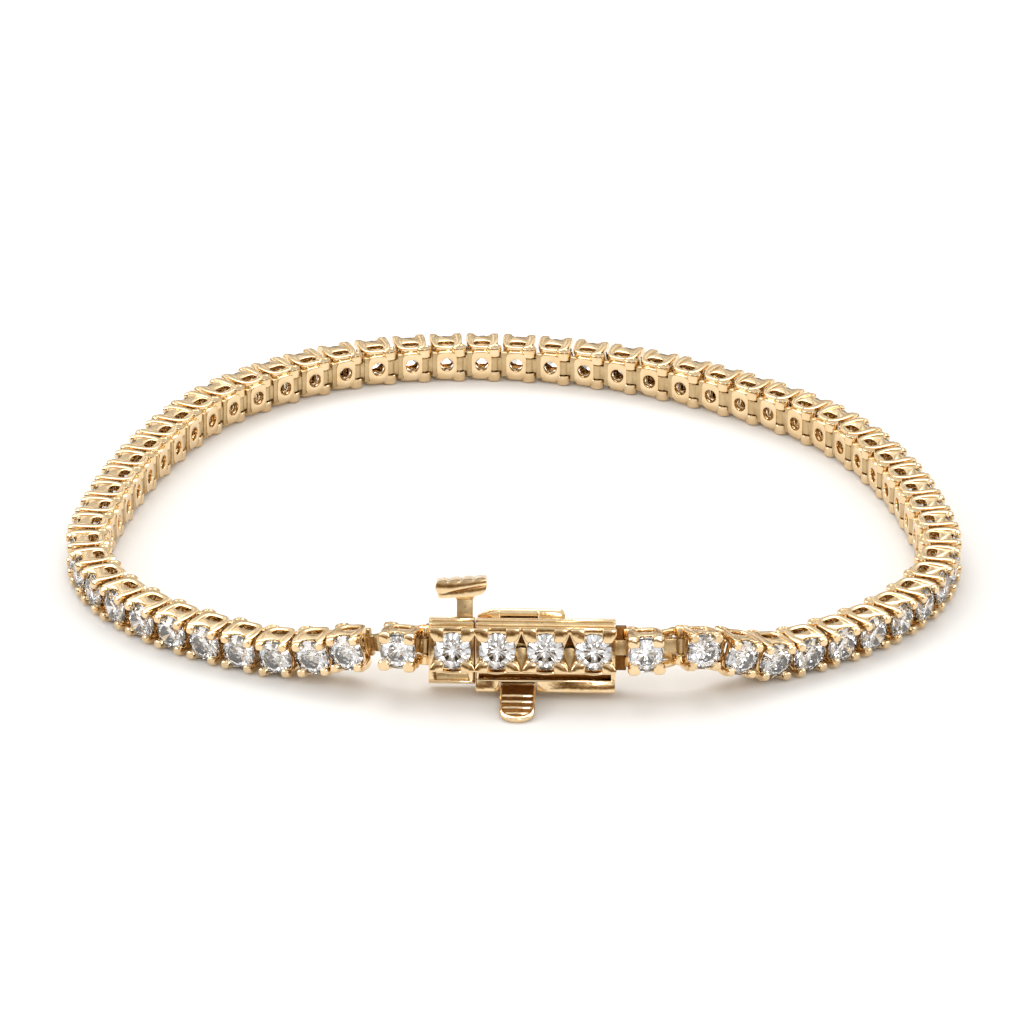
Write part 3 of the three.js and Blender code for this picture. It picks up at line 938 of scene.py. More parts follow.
@dataclass
class BasketLink:
    """A four-prong basket link with its hinge knuckle and tongue."""

    # The upper rail, from prong to prong round the wrist side.
    rail_points: tuple[Point3, ...] = (
        (-0.92, -2.28, 1.16), (-1.00, -1.80, 1.20), (-1.02, -1.10, 1.20), (-0.96, -0.50, 1.18),
        (-0.66, -0.08, 1.16), (0.0, 0.02, 1.14), (0.62, -0.08, 1.16), (0.90, -0.50, 1.18),
        (1.00, -1.10, 1.20), (1.00, -1.65, 1.20), (0.92, -2.28, 1.16),
    )
    rail_widths: tuple[float, ...] = (
        0.56, 0.52, 0.46, 0.42, 0.40, 0.38, 0.38, 0.38, 0.42, 0.46, 0.48,
    )
    rail_height: float = 0.46
    # Each ring of a prong: its Y, X and Z, its width along the chain and its height.
    pad_rings: tuple[tuple[float, ...], ...] = (
        (-0.9, 0.90, 1.04, 0.44, 0.40), (-1.6, 0.96, 1.07, 0.62, 0.54),
        (-2.05, 0.95, 1.05, 0.78, 0.72), (-2.30, 0.92, 1.02, 0.86, 0.82),
        (-2.46, 0.90, 1.00, 0.86, 0.82),
        (-2.56, 0.89, 0.99, 0.78, 0.74), (-2.61, 0.89, 0.98, 0.60, 0.56),
    )
    pad_share: float = 0.76
    gallery_front: float = -2.04
    gallery_z: Point2 = (0.90, 1.36)
    base_x: Point2 = (-0.78, 0.78)
    base_y: Point2 = (-0.12, 0.5)
    base_z: float = 1.1
    hole_radius: float = 0.50
    knuckle: Point2 = (-0.95, 0.06)
    knuckle_radius: float = 0.58
    knuckle_top: float = 1.39
    knuckle_slot: float = 0.64
    tongue_half: float = 0.56
    shoulder_half: float = 1.0
    # The two bars on each end of the link, under the stone and at the wrist side.
    seat_bar: tuple[Point3, ...] = (
        (0.98, -1.45, -1.1), (1.05, -1.62, -0.5), (1.06, -1.68, 0.0), (1.05, -1.62, 0.5),
        (0.98, -1.45, 1.1),
    )
    foot_bar: tuple[Point3, ...] = (
        (0.72, 0.1, -0.9), (0.8, -0.35, -0.45), (0.82, -0.45, 0.0), (0.8, -0.35, 0.45),
        (0.72, 0.1, 0.9),
    )
    window_middle: float = -0.62
    window_half: Point2 = (0.62, 0.36)
    reach: float = 2.7
    with_arms: bool = False

    def prong(self, side: int, level: int) -> Form:
        """One prong, whose broad rounded pad is pressed over the stone.

        Args:
            side: -1 or 1 along the chain.
            level: -1 or 1 for the lower or upper prong.

        Returns:
            The prong.
        """
        half = self.pad_share / 2
        rings = []
        for y, x, z, wide, tall in self.pad_rings:
            rings.append([
                Vector((side * x + a * wide * half, y, level * z + b * tall * half))
                for a, b in rounded_square(16, 3)
            ])
        return Form.skin(rings)

    def rail(self, level: int) -> Form:
        """The curved rail that joins two prongs round the wrist side.

        Args:
            level: -1 or 1 for the lower or upper rail.

        Returns:
            The rail.
        """
        path = smooth_path(self.rail_points, 3)
        widths = []
        for first, second in zip(self.rail_widths, self.rail_widths[1:]):
            widths += [first + (second - first) * k / 3 for k in range(3)]
        widths.append(self.rail_widths[-1])
        form = Form.bar(path, widths, [self.rail_height] * len(path))
        if level < 0:
            form.moved(Matrix.Diagonal((1, 1, -1, 1)))
        return form.softened(0.06, 2)

    def base(self) -> Form:
        """The wrist-side plate with its round hole.

        Returns:
            The plate.
        """
        half_x = (self.base_x[1] - self.base_x[0]) / 2
        outer = [(half_x * a, self.base_z * b) for a, b in rounded_square(24, 5)]
        inner = [(self.hole_radius * a, self.hole_radius * b) for a, b in circle(24)]
        front, back = self.base_y
        edges = ((outer, front), (outer, back), (inner, back), (inner, front))
        rings = [[Vector((x, y, z)) for x, z in edge] for edge, y in edges]
        return Form.skin(rings, closed=True).softened(0.07, 2)

    def knuckle_forms(self) -> list[Form]:
        """The two barrels that hold the neighbour's tongue.

        Returns:
            The barrels and their pin.
        """
        r, top, slot = self.knuckle_radius, self.knuckle_top, self.knuckle_slot
        outline = [
            (r * 0.9, slot), (r, slot + 0.06), (r, top - 0.12), (r * 0.93, top - 0.03),
            (r * 0.84, top), (r * 0.62, top), (r * 0.55, top - 0.05), (0.02, top - 0.06),
        ]
        centre = (self.knuckle[0], self.knuckle[1], 0)
        upper = Form.turned(outline, 20, Axis.Z, centre, (1.0, 0.86))
        lower = Form.turned(outline, 20, Axis.Z, (0, 0, 0), (1.0, 0.86))
        lower.moved(Matrix.Translation(Vector(centre)) @ Matrix.Diagonal((1, 1, -1, 1)))
        pin = Form.turned([(0.18, -slot - 0.1), (0.18, slot + 0.1)], 12, Axis.Z, centre)
        return [upper, lower, pin]

    def tongue_forms(self) -> list[Form]:
        """The tongue that turns in the next link's knuckle.

        Returns:
            The tongue's bar, eye and shoulder.
        """
        eye_x = self.knuckle[0] + self.reach
        y = self.knuckle[1]
        h = self.tongue_half
        bar = Form.block((self.base_x[1] - 0.2, eye_x), (y - 0.26, y + 0.3), (-h, h)).softened(0.06)
        section = [(0.40, -h), (0.47, -h + 0.07), (0.47, h - 0.07), (0.40, h)]
        eye = Form.turned(section, 18, Axis.Z, (eye_x, y, 0))
        shoulder = Form.block(
            (self.base_x[1] - 0.1, eye_x - self.knuckle_radius - 0.06), (-0.02, 0.44),
            (-self.shoulder_half, self.shoulder_half),
        ).softened(0.06)
        return [bar, eye, shoulder]

    def metal(self) -> Casting:
        """The whole link's metal.

        Returns:
            The casting.
        """
        casting = Casting()
        for level in (-1, 1):
            casting.add(self.rail(level))
            casting.add(self._gallery(level))
            for side in (-1, 1):
                casting.add(self.prong(side, level))
        for side in (-1, 1):
            for points, size in ((self.seat_bar, (0.42, 0.22)), (self.foot_bar, (0.4, 0.2))):
                line = [(side * x, y, z) for x, y, z in points]
                casting.add(Form.rod(line, 3, size, Vector((side, 0, 0))).softened(0.05))
        section = [(1.2, -1.9), (1.14, -1.6), (0.92, -1.3), (0.76, -1.32), (1.0, -1.72)]
        seat = self._ring(section, 24)
        if self.with_arms:
            casting.add(*self.arms())
        return casting.add(seat, self.base(), *self.knuckle_forms())

    def arms(self) -> list[Form]:
        """The two arms that run on from an end link's rails.

        Returns:
            The arms.
        """
        end = self.knuckle[0] + self.reach - self.knuckle_radius - 0.05
        forms = []
        for level in (-1, 1):
            line = [
                (0.92, -1.5, level * 1.16), (1.12, -0.9, level * 1.16),
                (end - 0.12, -0.35, level * 1.14), (end, 0.1, level * 1.12),
            ]
            forms.append(Form.rod(line, 4, (0.42, 0.5)).softened(0.07, 2))
        return forms

    def inner(self) -> Casting:
        """The tongue and its shoulder, in the darker satin gold that is painted shade between the
        links.
        """
        return Casting().add(*self.tongue_forms())

    def _gallery(self, level: int) -> Form:
        """The plate between two rails, hollowed at the stone's edge, with its window.

        Args:
            level: -1 or 1 for the lower or upper plate.

        Returns:
            The plate.
        """
        front = self.gallery_front
        outline = [(-0.95, -0.95), (-0.95, front - 0.2)]
        for k in range(9):
            angle = math.pi * k / 8
            outline.append((-0.62 * math.cos(angle), front - 0.16 + 0.38 * math.sin(angle)))
        outline += [
            (0.95, front - 0.2), (0.95, -0.95), (0.86, -0.5), (0.6, -0.1), (-0.6, -0.1),
            (-0.88, -0.5),
        ]
        low, high = sorted((level * self.gallery_z[0], level * self.gallery_z[1]))
        wide, tall = self.window_half
        window = [(wide * a, self.window_middle + tall * b) for a, b in rounded_square(20, 4)]
        plate = Form.prism(outline, Axis.Z, low, high)
        return plate.cut(Form.prism(window, Axis.Z, low - 1, high + 1)).softened(0.04)

    @staticmethod
    def _ring(section: Sequence[Point2], sides: int) -> Form:
        """A ring about the stone's axis, from a closed section of (radius, Y) points."""
        rings = [[Vector((r * c, y, r * s)) for r, y in section] for c, s in circle(sides)]
        return Form.skin(rings, closed=True)


class LinkString:
    """Lays a setting along the chain with Geometry Nodes."""

    TREE = "settings_on_points"

    def __init__(self) -> None:
        """Builds the tree once."""
        self.tree = bpy.data.node_groups.new(self.TREE, "GeometryNodeTree")
        face = self.tree.interface
        given_kinds = {
            "Points": "NodeSocketGeometry",
            "Setting": "NodeSocketObject",
            "Size": "NodeSocketFloat",
            "Finish": "NodeSocketMaterial",
        }
        for name, kind in given_kinds.items():
            face.new_socket(name, in_out="INPUT", socket_type=kind)
        face.new_socket("Pieces", in_out="OUTPUT", socket_type="NodeSocketGeometry")
        given = add_node(self.tree, "NodeGroupInput")
        setting = add_node(self.tree, "GeometryNodeObjectInfo", {"transform_space": "ORIGINAL"}, {
            "Object": given.outputs["Setting"],
        })
        turn, stretch = (
            add_node(self.tree, "GeometryNodeInputNamedAttribute", {"data_type": "FLOAT_VECTOR"},
                     {"Name": name}).outputs["Attribute"]
            for name in ("turn", "stretch")
        )
        rotation = add_node(self.tree, "FunctionNodeEulerToRotation", links={0: turn})
        scale = add_node(self.tree, "ShaderNodeVectorMath", {"operation": "SCALE"}, {
            0: stretch, "Scale": given.outputs["Size"],
        })
        laid = add_node(self.tree, "GeometryNodeInstanceOnPoints", links={
            "Points": given.outputs["Points"], "Instance": setting.outputs["Geometry"],
            "Rotation": rotation.outputs[0], "Scale": scale.outputs["Vector"],
        })
        real = add_node(self.tree, "GeometryNodeRealizeInstances", links={
            "Geometry": laid.outputs["Instances"],
        })
        dressed = add_node(self.tree, "GeometryNodeSetMaterial", links={
            "Geometry": real.outputs["Geometry"], "Material": given.outputs["Finish"],
        })
        add_node(self.tree, "NodeGroupOutput", links={"Pieces": dressed.outputs["Geometry"]})

    def lay(self, name: str, setting: bpy.types.Object, frames: Sequence[Matrix],
            finish: bpy.types.Material, lengths: Sequence[float] = ()) -> bpy.types.Object:
        """Lays one setting at each frame.

        Args:
            name: The finished piece's name.
            setting: The object to repeat, in metres.
            frames: Where each one lies, in millimetres.
            finish: The material.
            lengths: How far each one is stretched along its own X. All 1 if left out.

        Returns:
            One joined mesh object.
        """
        points = bpy.data.meshes.new(f"{name}_points")
        points.from_pydata([tuple(frame.translation * MM) for frame in frames], [], [])
        stored = {
            "turn": [frame.to_euler("XYZ") for frame in frames],
            "stretch": [(length, 1.0, 1.0) for length in lengths or [1.0] * len(frames)],
        }
        for label, values in stored.items():
            layer = points.attributes.new(label, "FLOAT_VECTOR", "POINT")
            for item, value in zip(layer.data, values):
                item.vector = value
        carrier = place_object(f"{name}_carrier", points)
        modifier = carrier.modifiers.new("string", "NODES")
        modifier.node_group = self.tree
        sockets = {item.name: item.identifier for item in self.tree.interface.items_tree}
        modifier[sockets["Setting"]] = setting
        modifier[sockets["Size"]] = 1.0
        modifier[sockets["Finish"]] = finish
        bpy.context.view_layer.update()
        graph = bpy.context.evaluated_depsgraph_get()
        mesh = bpy.data.meshes.new_from_object(carrier.evaluated_get(graph))
        mesh.name = name
        obj = place_object(name, mesh)
        carrier.modifiers.clear()
        bpy.data.objects.remove(carrier)
        return obj


def hand_in(obj: bpy.types.Object, body: str, slot: Slot, *nodes: str) -> None:
    """Ties a finished piece to its body and hides the CAD nodes that it stands for.

    Args:
        obj: The piece.
        body: The body that it rides on.
        slot: The record's material slot. Not used.
        nodes: The CAD nodes that it replaces.
    """
    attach(obj, body)
    if nodes:
        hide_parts(*nodes)
    LOG.info("%s: %d faces on %s", obj.name, len(obj.data.polygons), body)


@dataclass
class Chain:
    """Both halves of the chain and the two end links, with their stones."""

    line: ChainLine
    finishes: Finishes
    string: LinkString
    link: BasketLink = field(default_factory=BasketLink)
    stone: Brilliant = field(default_factory=Brilliant)
    chance: random.Random = field(default_factory=lambda: random.Random(STONE_SEED))

    def build(self) -> None:
        """Builds the chain's pieces."""
        metal = self.link.metal().to_object("link_master", self.finishes.gold)
        # The tongues take the darker satin gold, as painted shade between the links.
        inner = self.link.inner().to_object("inner_master", self.finishes.satin_gold)
        stone = Casting().add(self.stone.form()).to_object(
            "stone_master", self.finishes.diamond, smooth_angle=0,
        )
        halves = {"chain_right": self.line.right_start, "chain_left": self.line.left_start}
        for node, start in halves.items():
            frames = self.line.half(start)
            laid = self.string.lay(f"{node}_links", metal, frames, self.finishes.gold)
            hand_in(laid, WHOLE_BODY, Slot.GOLD, node)
            tongues = self.string.lay(f"{node}_tongues", inner, frames, self.finishes.satin_gold)
            hand_in(tongues, WHOLE_BODY, Slot.GOLD)
            turned = [f @ Matrix.Rotation(self.chance.uniform(0, math.tau), 4, "Y") for f in frames]
            stones = self.string.lay(f"{node}_stones", stone, turned, self.finishes.diamond)
            hand_in(stones, WHOLE_BODY, Slot.DIAMOND)
        self._end_links(stone)
        for spare in (metal, inner, stone):
            bpy.data.objects.remove(spare)

    def _end_links(self, stone: bpy.types.Object) -> None:
        """Builds the two end links.

        Args:
            stone: The stone that is laid in both.
        """
        s = self.line.sizes
        first = self.line.place(self.line.right_start)
        last = self.line.place(self.line.left_start + (s.links_each_side - 1) * s.link_pitch)
        clasp = self.line.clasp
        hinges = {
            "end_link_right": (
                clasp @ Vector((s.box_hinge_x, 0, 0)), first @ Vector((-s.knuckle_offset, 0, 0)),
            ),
            "end_link_left": (
                last @ Vector((s.end_pitch - s.knuckle_offset, 0, 0)),
                clasp @ Vector((s.housing_hinge_x, 0, 0)),
            ),
        }
        for node, (knuckle, eye) in hinges.items():
            frame = self.line.end_link(knuckle, eye)
            link = BasketLink(reach=(eye - knuckle).length, pad_share=1.0, with_arms=True)
            metal = link.metal().to_object(f"{node}_metal", self.finishes.gold, frame)
            hand_in(metal, WHOLE_BODY, Slot.GOLD, node)
            # The end link's tongue takes the darker satin gold, as painted shade.
            inner = link.inner().to_object(f"{node}_tongue", self.finishes.satin_gold, frame)
            hand_in(inner, WHOLE_BODY, Slot.GOLD)
            stones = self.string.lay(f"{node}_stone", stone, [frame], self.finishes.diamond)
            hand_in(stones, WHOLE_BODY, Slot.DIAMOND)


# Clasp


@dataclass
class ClaspSizes:
    """Sizes of the clasp in its own frame, in millimetres."""

    box_top: float = 2.27
    box_bottom: float = -2.3
    front: float = -1.35
    back: float = 0.95
    wall: float = 0.4
    corner: float = 0.2
    relief_front: float = -1.96
    relief_half: float = 1.42
    relief_top: float = 1.76
    prong_y: Point2 = (-2.46, -1.9)
    lower_foot: float = 1.46
    cove_top: float = 2.12
    rim_front: float = -1.5
    rim_depth: float = 0.6
    rim_height: float = 0.80
    slot_top: float = -1.74
    slot_bottom: float = -2.2
    opening_length: float = 0.94
    opening_height: float = 2.6
    housing_top: float = 2.4
    housing_bottom: float = -2.5
    barrel_radius: float = 0.34
    barrel_y: float = 1.05
    barrel_z: float = 2.16
    barrel_left: float = -4.9
    barrel_right: float = 1.33
    catch_left: float = -3.3
    catch_right: float = -0.58
    catch_gap: float = 0.1
    catch_thickness: float = 0.45
    tab_width: float = 2.5
    tab_length: float = 3.75
    tab_thickness: float = 0.4
    # How far the tab bends forwards from hanging straight down.
    tab_angle: float = math.radians(61)
    stem_x: float = -5.77
    stem_half: float = 0.565
    leaf_middle: float = -0.22
    stem_top: float = 3.45
    collar_width: float = 1.6
    collar_height: float = 0.45
    head_width: float = 3.6
    head_depth: float = 1.7
    head_thickness: float = 1.12
    head_slope: float = math.radians(4.5)
    head_shift: float = -0.17
    head_ridges: int = 4

    @property
    def catch_middle(self) -> float:
        """The middle of the catch along the clasp."""
        return (self.catch_left + self.catch_right) / 2


class Clasp:
    """The box clasp with its tongue housing, thumb piece and safety catch."""

    def __init__(self, line: ChainLine, finishes: Finishes, string: LinkString) -> None:
        """Keeps what the pieces need.

        Args:
            line: The chain's line, with the clasp's frame.
            finishes: The built materials.
            string: The tree that repeats a form.
        """
        self.sizes = ClaspSizes()
        self.line = line
        self.layout = line.sizes
        self.finishes = finishes
        self.string = string
        pitch = self.layout.clasp_pitch
        self.box_stones = (-pitch, 0.0, pitch)

    def build(self) -> None:
        """Builds the clasp's pieces."""
        gold, satin, dull = self.finishes.gold, self.finishes.satin_gold, self.finishes.dull_gold
        pieces = (
            (self._box, "clasp_box_shell", gold, WHOLE_BODY, ("clasp_box",)),
            (self._housing, "tongue_housing_shell", gold, WHOLE_BODY, ("tongue_housing",)),
            (self._spring, "v_spring", satin, SPRING_BODY, ("tongue_spring",)),
            (self._push_piece, "thumb_piece", gold, SPRING_BODY, ("push_piece",)),
            (self._catch, "fold_over_catch", gold, CATCH_BODY, ("safety_catch",)),
            # The last three pieces are painted shade, in the darker satin gold and the dark brown
            # gold.
            (self._satin, "clasp_satin", satin, WHOLE_BODY, ()),
            (self._recess_shade, "clasp_recesses", dull, WHOLE_BODY, ()),
            (self._catch_recess_shade, "catch_recesses", dull, CATCH_BODY, ()),
        )
        for make, name, finish, body, nodes in pieces:
            hand_in(make().to_object(name, finish, self.line.clasp), body, Slot.GOLD, *nodes)
        self._tab_ribs()
        self._stones()

    def _prongs(self, x: float) -> list[Form]:
        """Four broad prongs round one stone.

        Args:
            x: The stone's middle.

        Returns:
            The prongs.
        """
        s = self.sizes
        leaf = [
            (0.58, 0.92), (0.64, 0.78), (0.78, 0.72), (1.18, 0.72), (1.34, 0.80), (1.50, 1.02),
            (1.62, 1.28),
        ]
        forms = []
        for side in (-1, 1):
            for level, foot in ((-1, s.lower_foot), (1, s.relief_top - 0.02)):
                half_leaf = ((0.62, foot), *leaf, (1.62, foot))
                outline = [(x + side * a, level * b) for a, b in half_leaf]
                forms.append(Form.prism(outline, Axis.Y, *s.prong_y).softened(0.11, 3))
        return forms

    def _relief(self, stones: Sequence[float], left: float, right: float) -> Form:
        """The raised plate that holds a row of stones, with its cups and openings.

        Args:
            stones: The stones' middles.
            left: The plate's left end.
            right: Its right end.

        Returns:
            The plate.
        """
        s = self.sizes
        half, top = s.relief_half, s.cove_top
        cove = self._cove_points()
        profile = [
            (s.front + 0.2, -half - 0.2), (s.front, -half - 0.2), (s.relief_front + 0.1, -half),
            (s.relief_front, -half + 0.1), (s.relief_front, s.relief_top - 0.06), *cove,
            (s.front - 0.02, top + 0.06), (s.front + 0.2, top + 0.06),
        ]
        plate = Form.prism(profile, Axis.X, left, right)
        radius = self.layout.clasp_stone_diameter / 2 - 0.1
        cup = [(radius * 0.3, 0.9), (radius * 0.98, 0.12), (radius, -0.1), (radius * 1.06, -1.0)]
        tools = [Form.turned(cup, 28, Axis.Y, (x, s.relief_front, 0)) for x in stones]
        for first, second in zip(stones, stones[1:]):
            tools.append(self._rhombus((first + second) / 2, s.relief_front - 1, s.front + 0.5))
        return plate.cut(*tools).softened(0.07, 2)

    def _keel(self, x: float) -> Form:
        """The pointed wedge that fills the lower half of an opening.

        Args:
            x: The opening's middle.

        Returns:
            The wedge.
        """
        s = self.sizes
        half, tall = s.opening_length / 2 + 0.03, s.opening_height / 2
        front = s.relief_front + 0.24
        rings = []
        for y in (front, s.front + s.wall + 0.6):
            corners = [
                (x - half, y + 0.1, 0.14), (x, y, -tall - 0.02), (x + half, y + 0.1, 0.14),
                (x, y + 0.06, 0.24),
            ]
            rings.append([Vector(corner) for corner in corners])
        return Form.skin(rings).softened(0.04)

    def _cove_points(self) -> list[Point2]:
        """The cove's curve, from the relief's edge to the lip.

        Returns:
            Points of the curve, as Y and Z.
        """
        s = self.sizes
        ledge = (s.relief_front + 0.02, s.relief_top)
        turn = (s.front + 0.12, s.relief_top)
        lip = (s.front - 0.06, s.cove_top)
        points = []
        for k in range(9):
            t = k / 8
            points.append(tuple(
                (1 - t) ** 2 * a + 2 * t * (1 - t) * b + t * t * c
                for a, b, c in zip(ledge, turn, lip)
            ))
        return points

    def _cove_shade(self, left: float, right: float) -> Form:
        """Painted shade in the cove: a strip of the darker satin gold laid along its curve.

        Args:
            left: The strip's left end.
            right: Its right end.

        Returns:
            The strip.
        """
        curve = self._cove_points()[2:-1]
        outline = [(y - 0.025, z + 0.01) for y, z in curve]
        outline += [(y + 0.05, z - 0.05) for y, z in reversed(curve)]
        return Form.prism(outline, Axis.X, left, right)

    def _satin(self) -> Casting:
        """Painted shade in the darker satin gold: on the coves, the keels, the lug at the box's end
        and the housing's recessed panel.

        Returns:
            The casting.
        """
        s, layout = self.sizes, self.layout
        right = layout.box_length / 2
        x = layout.tongue_stone_x
        forms = [self._keel(-layout.clasp_pitch / 2), self._keel(layout.clasp_pitch / 2)]
        forms.append(self._cove_shade(-right + 0.12, right - 0.12))
        forms.append(self._cove_shade(layout.housing_left + 0.2, layout.housing_right - 0.12))
        blocks = (
            ((right - 0.2, right + 1.0), (-0.3, 0.3), (-0.56, 0.56), 0.06),
            ((x - 1.16, x + 1.16), (s.front + 0.10, s.front + 0.2),
             (s.slot_bottom - 0.02, s.slot_top + 0.02), 0.02),
        )
        forms += [Form.block(*limits).softened(soft) for *limits, soft in blocks]
        return Casting().add(*forms)

    def _recess_shade(self) -> Casting:
        """Painted shade in dark brown gold: behind the slot, in the seam, at both ends and in the
        box.

        Returns:
            The casting.
        """
        s, layout = self.sizes, self.layout
        right = layout.box_length / 2
        left, seam = layout.housing_left, layout.housing_right
        inside = right - s.wall + 0.05
        strip = [
            (s.front + 0.38, s.slot_bottom + 0.10), (s.front + 0.26, s.slot_top + 0.06),
            (s.front + 0.46, s.slot_top + 0.06), (s.front + 0.5, s.slot_bottom + 0.10),
        ]
        forms = [Form.prism(strip, Axis.X, -right + 0.15, inside).softened(0.03)]
        forms.append(Form.block((seam - 0.02, seam + 0.07), (-1.75, -0.92), (-2.4, 2.0)))
        blocks = (
            ((right - 0.05, right + 0.76), (0.0, 0.7), (-1.7, 1.45), 0.05),
            ((left - 0.24, left + 0.05), (0.66, 0.8), (-1.4, 1.4), 0.03),
            ((-right + 0.1, inside), (s.front + s.wall + 0.45, s.front + s.wall + 0.6), (-1.5, 1.5),
             0.03),
        )
        forms += [Form.block(*limits).softened(soft) for *limits, soft in blocks]
        return Casting().add(*forms)

    def _rhombus(self, x: float, start: float, end: float) -> Form:
        """The opening between two settings.

        Args:
            x: The opening's middle.
            start: Where it starts in Y.
            end: Where it ends in Y.

        Returns:
            The opening's form.
        """
        half, tall = self.sizes.opening_length / 2, self.sizes.opening_height / 2
        corners = [(x - half, 0.1), (x, -tall), (x + half, 0.1), (x, tall)]
        return Form.prism(corners, Axis.Y, start, end)

    def _box(self) -> Casting:
        """The hollow box with its settings, rim and hinge barrels.

        Returns:
            The casting.
        """
        s = self.sizes
        right = self.layout.box_length / 2
        outline = [
            (-right, s.box_bottom), (right - s.corner, s.box_bottom),
            (right, s.box_bottom + s.corner), (right, s.box_top), (-right, s.box_top),
        ]
        shell = Form.prism(outline, Axis.Y, s.front, s.back)
        room = Form.block(
            (-right - 1, right - s.wall), (s.front + s.wall, s.back - s.wall),
            (s.box_bottom + s.wall, s.box_top - s.wall),
        )
        slot = Form.block(
            (-right + 0.22, right - 0.3), (s.front - 1, s.front + 1.7), (s.slot_bottom, s.slot_top),
        )
        tools = [self._top_slope(), room, slot]
        tools += [self._cup(x) for x in self.box_stones]
        for x in (-self.layout.clasp_pitch / 2, self.layout.clasp_pitch / 2):
            tools.append(self._rhombus(x, s.front - 1, s.front + s.wall + 0.3))
        room_radius = s.barrel_radius + 0.1
        tools.append(Form.turned(
            [(room_radius, s.catch_left - 0.1), (room_radius, s.catch_right + 0.1)], 24, Axis.X,
            (0, s.barrel_y, s.barrel_z),
        ))
        casting = Casting().add(shell.cut(*tools).softened(0.06, 2))
        casting.add(self._relief(self.box_stones, -right + 0.02, right - 0.02))
        for x in self.box_stones:
            casting.add(*self._prongs(x), self._gallery_edge(x))
        rim_low, rim_back = s.box_bottom - s.rim_height, s.rim_front + s.rim_depth
        rim = Form.prism([
            (s.rim_front, s.box_bottom + 0.14), (s.rim_front - 0.02, rim_low + 0.12),
            (s.rim_front + 0.12, rim_low), (rim_back, rim_low), (rim_back, s.box_bottom + 0.14),
        ], Axis.X, -right, right)
        notch = Form.block(
            (s.catch_middle - s.tab_width / 2 - 0.1, s.catch_middle + s.tab_width / 2 + 0.1),
            (s.rim_front - 1, s.rim_front + 2), (s.box_bottom - 2, s.box_bottom - 0.04),
        )
        casting.add(rim.cut(notch).softened(0.07, 2))
        casting.add(*self._barrels())
        eye = [(0.40, -0.56), (0.47, -0.5), (0.47, 0.5), (0.40, 0.56)]
        return casting.add(Form.turned(eye, 18, Axis.Z, (self.layout.box_hinge_x, 0.02, 0)))

    def _cup(self, x: float) -> Form:
        """The hole in the front wall behind one stone."""
        return Form.turned([(0.7, -1.0), (0.7, 0.8)], 20, Axis.Y, (x, self.sizes.front, 0))

    def _top_slope(self) -> Form:
        """The wedge that makes a top face fall away to the back.

        Returns:
            The wedge.
        """
        s = self.sizes
        front, back, top = s.front - 0.5, s.back + 0.5, s.box_top
        return Form.prism(
            [(front, top + 0.04), (back, top - 0.46), (back, top + 2), (front, top + 2)],
            Axis.X, -20, 20,
        )

    def _gallery_edge(self, x: float) -> Form:
        """The bright curved edge under one stone.

        Args:
            x: The stone's middle.

        Returns:
            The edge.
        """
        line = [
            (x - 0.86, -1.9, -1.40), (x - 0.5, -1.98, -1.50), (x, -2.0, -1.55),
            (x + 0.5, -1.98, -1.50), (x + 0.86, -1.9, -1.40),
        ]
        return Form.rod(line, 4, (0.5, 0.17)).softened(0.05, 2)

    def _barrel(self, stations: Sequence[Point3]) -> Form:
        """One fixed hinge barrel, which swells and shrinks along its axis.

        Args:
            stations: Place along the clasp, radius, and drop below the hinge's axis.

        Returns:
            The barrel.
        """
        s = self.sizes
        return Form.skin([
            [
                Vector((x, s.barrel_y + radius * c, s.barrel_z - drop + radius * d))
                for c, d in circle(24)
            ]
            for x, radius, drop in stations
        ])

    def _barrels(self) -> list[Form]:
        """The fixed hinge barrels and their pin.

        Returns:
            The barrels, their pin and their webs.
        """
        s = self.sizes
        r, first, last = s.barrel_radius, s.barrel_left, s.barrel_right
        left_end, right_end = s.catch_left - 0.04, s.catch_right + 0.04
        left = self._barrel([
            (first, r * 0.34, 0.28), (first + 0.4, r * 0.6, 0.16), (first + 0.85, r * 0.9, 0.04),
            (first + 1.1, r, 0), (left_end - 0.04, r, 0), (left_end, r * 0.93, 0),
        ])
        right = self._barrel([
            (right_end, r * 0.93, 0), (right_end + 0.04, r, 0), (last - 0.3, r, 0),
            (last - 0.1, r * 0.85, 0.08), (last, r * 0.5, 0.2),
        ])
        webs = [
            Form.block(x, (s.back - 0.5, s.back + 0.1), (1.5, 2.1))
            for x in ((first + 1.0, left_end), (right_end, last - 0.1))
        ]
        pin = Form.turned(
            [(0.16, s.catch_left - 0.4), (0.16, s.catch_right + 0.4)], 14, Axis.X,
            (0, s.barrel_y, s.barrel_z),
        )
        return [left, right, pin, *webs]

